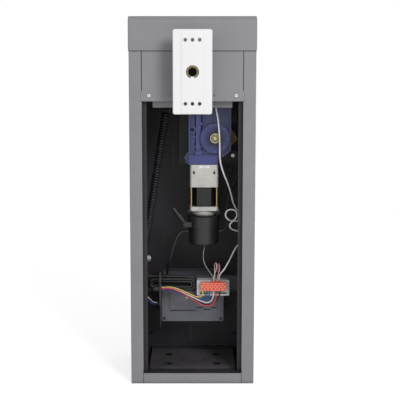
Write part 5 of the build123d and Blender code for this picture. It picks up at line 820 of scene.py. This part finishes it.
# Painted shade: thin black crosses on the two front heads.
for number, x in enumerate((-120, 120)):
    recess_shade = bmesh.new()
    for across, rise in ((CROSS_REACH, CROSS_HALF), (CROSS_HALF, CROSS_REACH)):
        add_block(recess_shade, (x - across, HEAD_FACE - 0.25, SCREW_HEIGHT - rise),
                  (x + across, HEAD_FACE, SCREW_HEIGHT + rise))
    add_piece(f"screw_cross_shade_{number}", recess_shade, painted_shade_black, "housing")


# Studio: a pale floor, a backdrop and a sky that the camera, mirrors and glass see as plain
# white, and two soft boxes in front on the right and left. Where the cabinet stands, the floor is
# painted dark as its shadow and does not glow, as the cabinet is open below.
FLOOR_GLOW, SKY_LIGHT = 0.58, 0.42
PALE, SHADOW_DARK, WHITE = (0.85, 0.85, 0.85, 1), (0.02, 0.02, 0.02, 1), (1, 1, 1, 1)


def seen_directly(tree):
    """1 for the camera and for what mirrors and glass show."""
    paths = tree.nodes.new("ShaderNodeLightPath")
    mirrored = reckon(tree, "MAXIMUM", paths.outputs["Is Glossy Ray"],
                      paths.outputs["Is Transmission Ray"])
    return reckon(tree, "MAXIMUM", paths.outputs["Is Camera Ray"], mirrored)


def backdrop(name, low, high, keeps_shadow):
    """Level or upright sheet between two corners, in metres."""
    work = bmesh.new()
    for vertex in bmesh.ops.create_grid(work, x_segments=1, y_segments=1, size=1)["verts"]:
        right, far = [high if value > 0 else low for value in vertex.co.xy]
        vertex.co = (right[0], far[1], far[2])
    mesh = bpy.data.meshes.new(name)
    work.to_mesh(mesh)
    work.free()
    material = bpy.data.materials.new(name)
    material.use_nodes = True
    tree = material.node_tree
    shader = tree.nodes["Principled BSDF"]
    shader.inputs["Base Color"].default_value = PALE
    shader.inputs["Roughness"].default_value = 0.7
    seen = seen_directly(tree)
    if keeps_shadow:
        coords = tree.nodes.new("ShaderNodeTexCoord").outputs["Object"]
        # Painted shadow: the floor is dark within the cabinet's footprint and does not glow there.
        under = in_block(tree, coords, (-0.174, FRONT_Y + 0.002, -1), (0.174, FRONT_Y + 0.298, 1))
        tree.links.new(blend_colours(tree, under, PALE, SHADOW_DARK), shader.inputs["Base Color"])
        shader.inputs["Emission Color"].default_value = WHITE
        glow = reckon(tree, "MULTIPLY", reckon(tree, "SUBTRACT", seen, under, True), FLOOR_GLOW)
        tree.links.new(glow, shader.inputs["Emission Strength"])
    else:
        glow = tree.nodes.new("ShaderNodeEmission")
        glow.inputs["Color"].default_value = WHITE
        choice = tree.nodes.new("ShaderNodeMixShader")
        tree.links.new(seen, choice.inputs[0])
        tree.links.new(shader.outputs[0], choice.inputs[1])
        tree.links.new(glow.outputs[0], choice.inputs[2])
        tree.links.new(choice.outputs[0], tree.nodes["Material Output"].inputs["Surface"])
    mesh.materials.append(material)
    sheet = bpy.data.objects.new(name, mesh)
    bpy.context.scene.collection.objects.link(sheet)


def soft_box(name, location, target, size, energy):
    data = bpy.data.lights.new(name, "AREA")
    data.size = size
    data.energy = energy
    light = bpy.data.objects.new(name, data)
    light.location = location
    light.rotation_mode = "QUATERNION"
    light.rotation_quaternion = (Vector(target) - Vector(location)).to_track_quat("-Z", "Y")
    bpy.context.scene.collection.objects.link(light)


backdrop("floor", (-6, -6, 0), (6, 3, 0), True)
backdrop("wall", (-6, 3, -1), (6, 3, 6), False)
soft_box("key", (1.5, -3.0, 2.2), (0, 0, 0.6), 1.1, 66)
soft_box("fill", (-1.8, -3.2, 1.2), (0, 0, 0.5), 1.8, 9)
sky = bpy.data.worlds.new("sky")
sky.use_nodes = True
background = sky.node_tree.nodes["Background"]
background.inputs["Color"].default_value = WHITE
sky_glow = reckon(sky.node_tree, "MULTIPLY", seen_directly(sky.node_tree), 1 - SKY_LIGHT)
sky.node_tree.links.new(reckon(sky.node_tree, "ADD", sky_glow, SKY_LIGHT),
                        background.inputs["Strength"])
bpy.context.scene.world = sky
bpy.context.scene.view_settings.view_transform = "Standard"
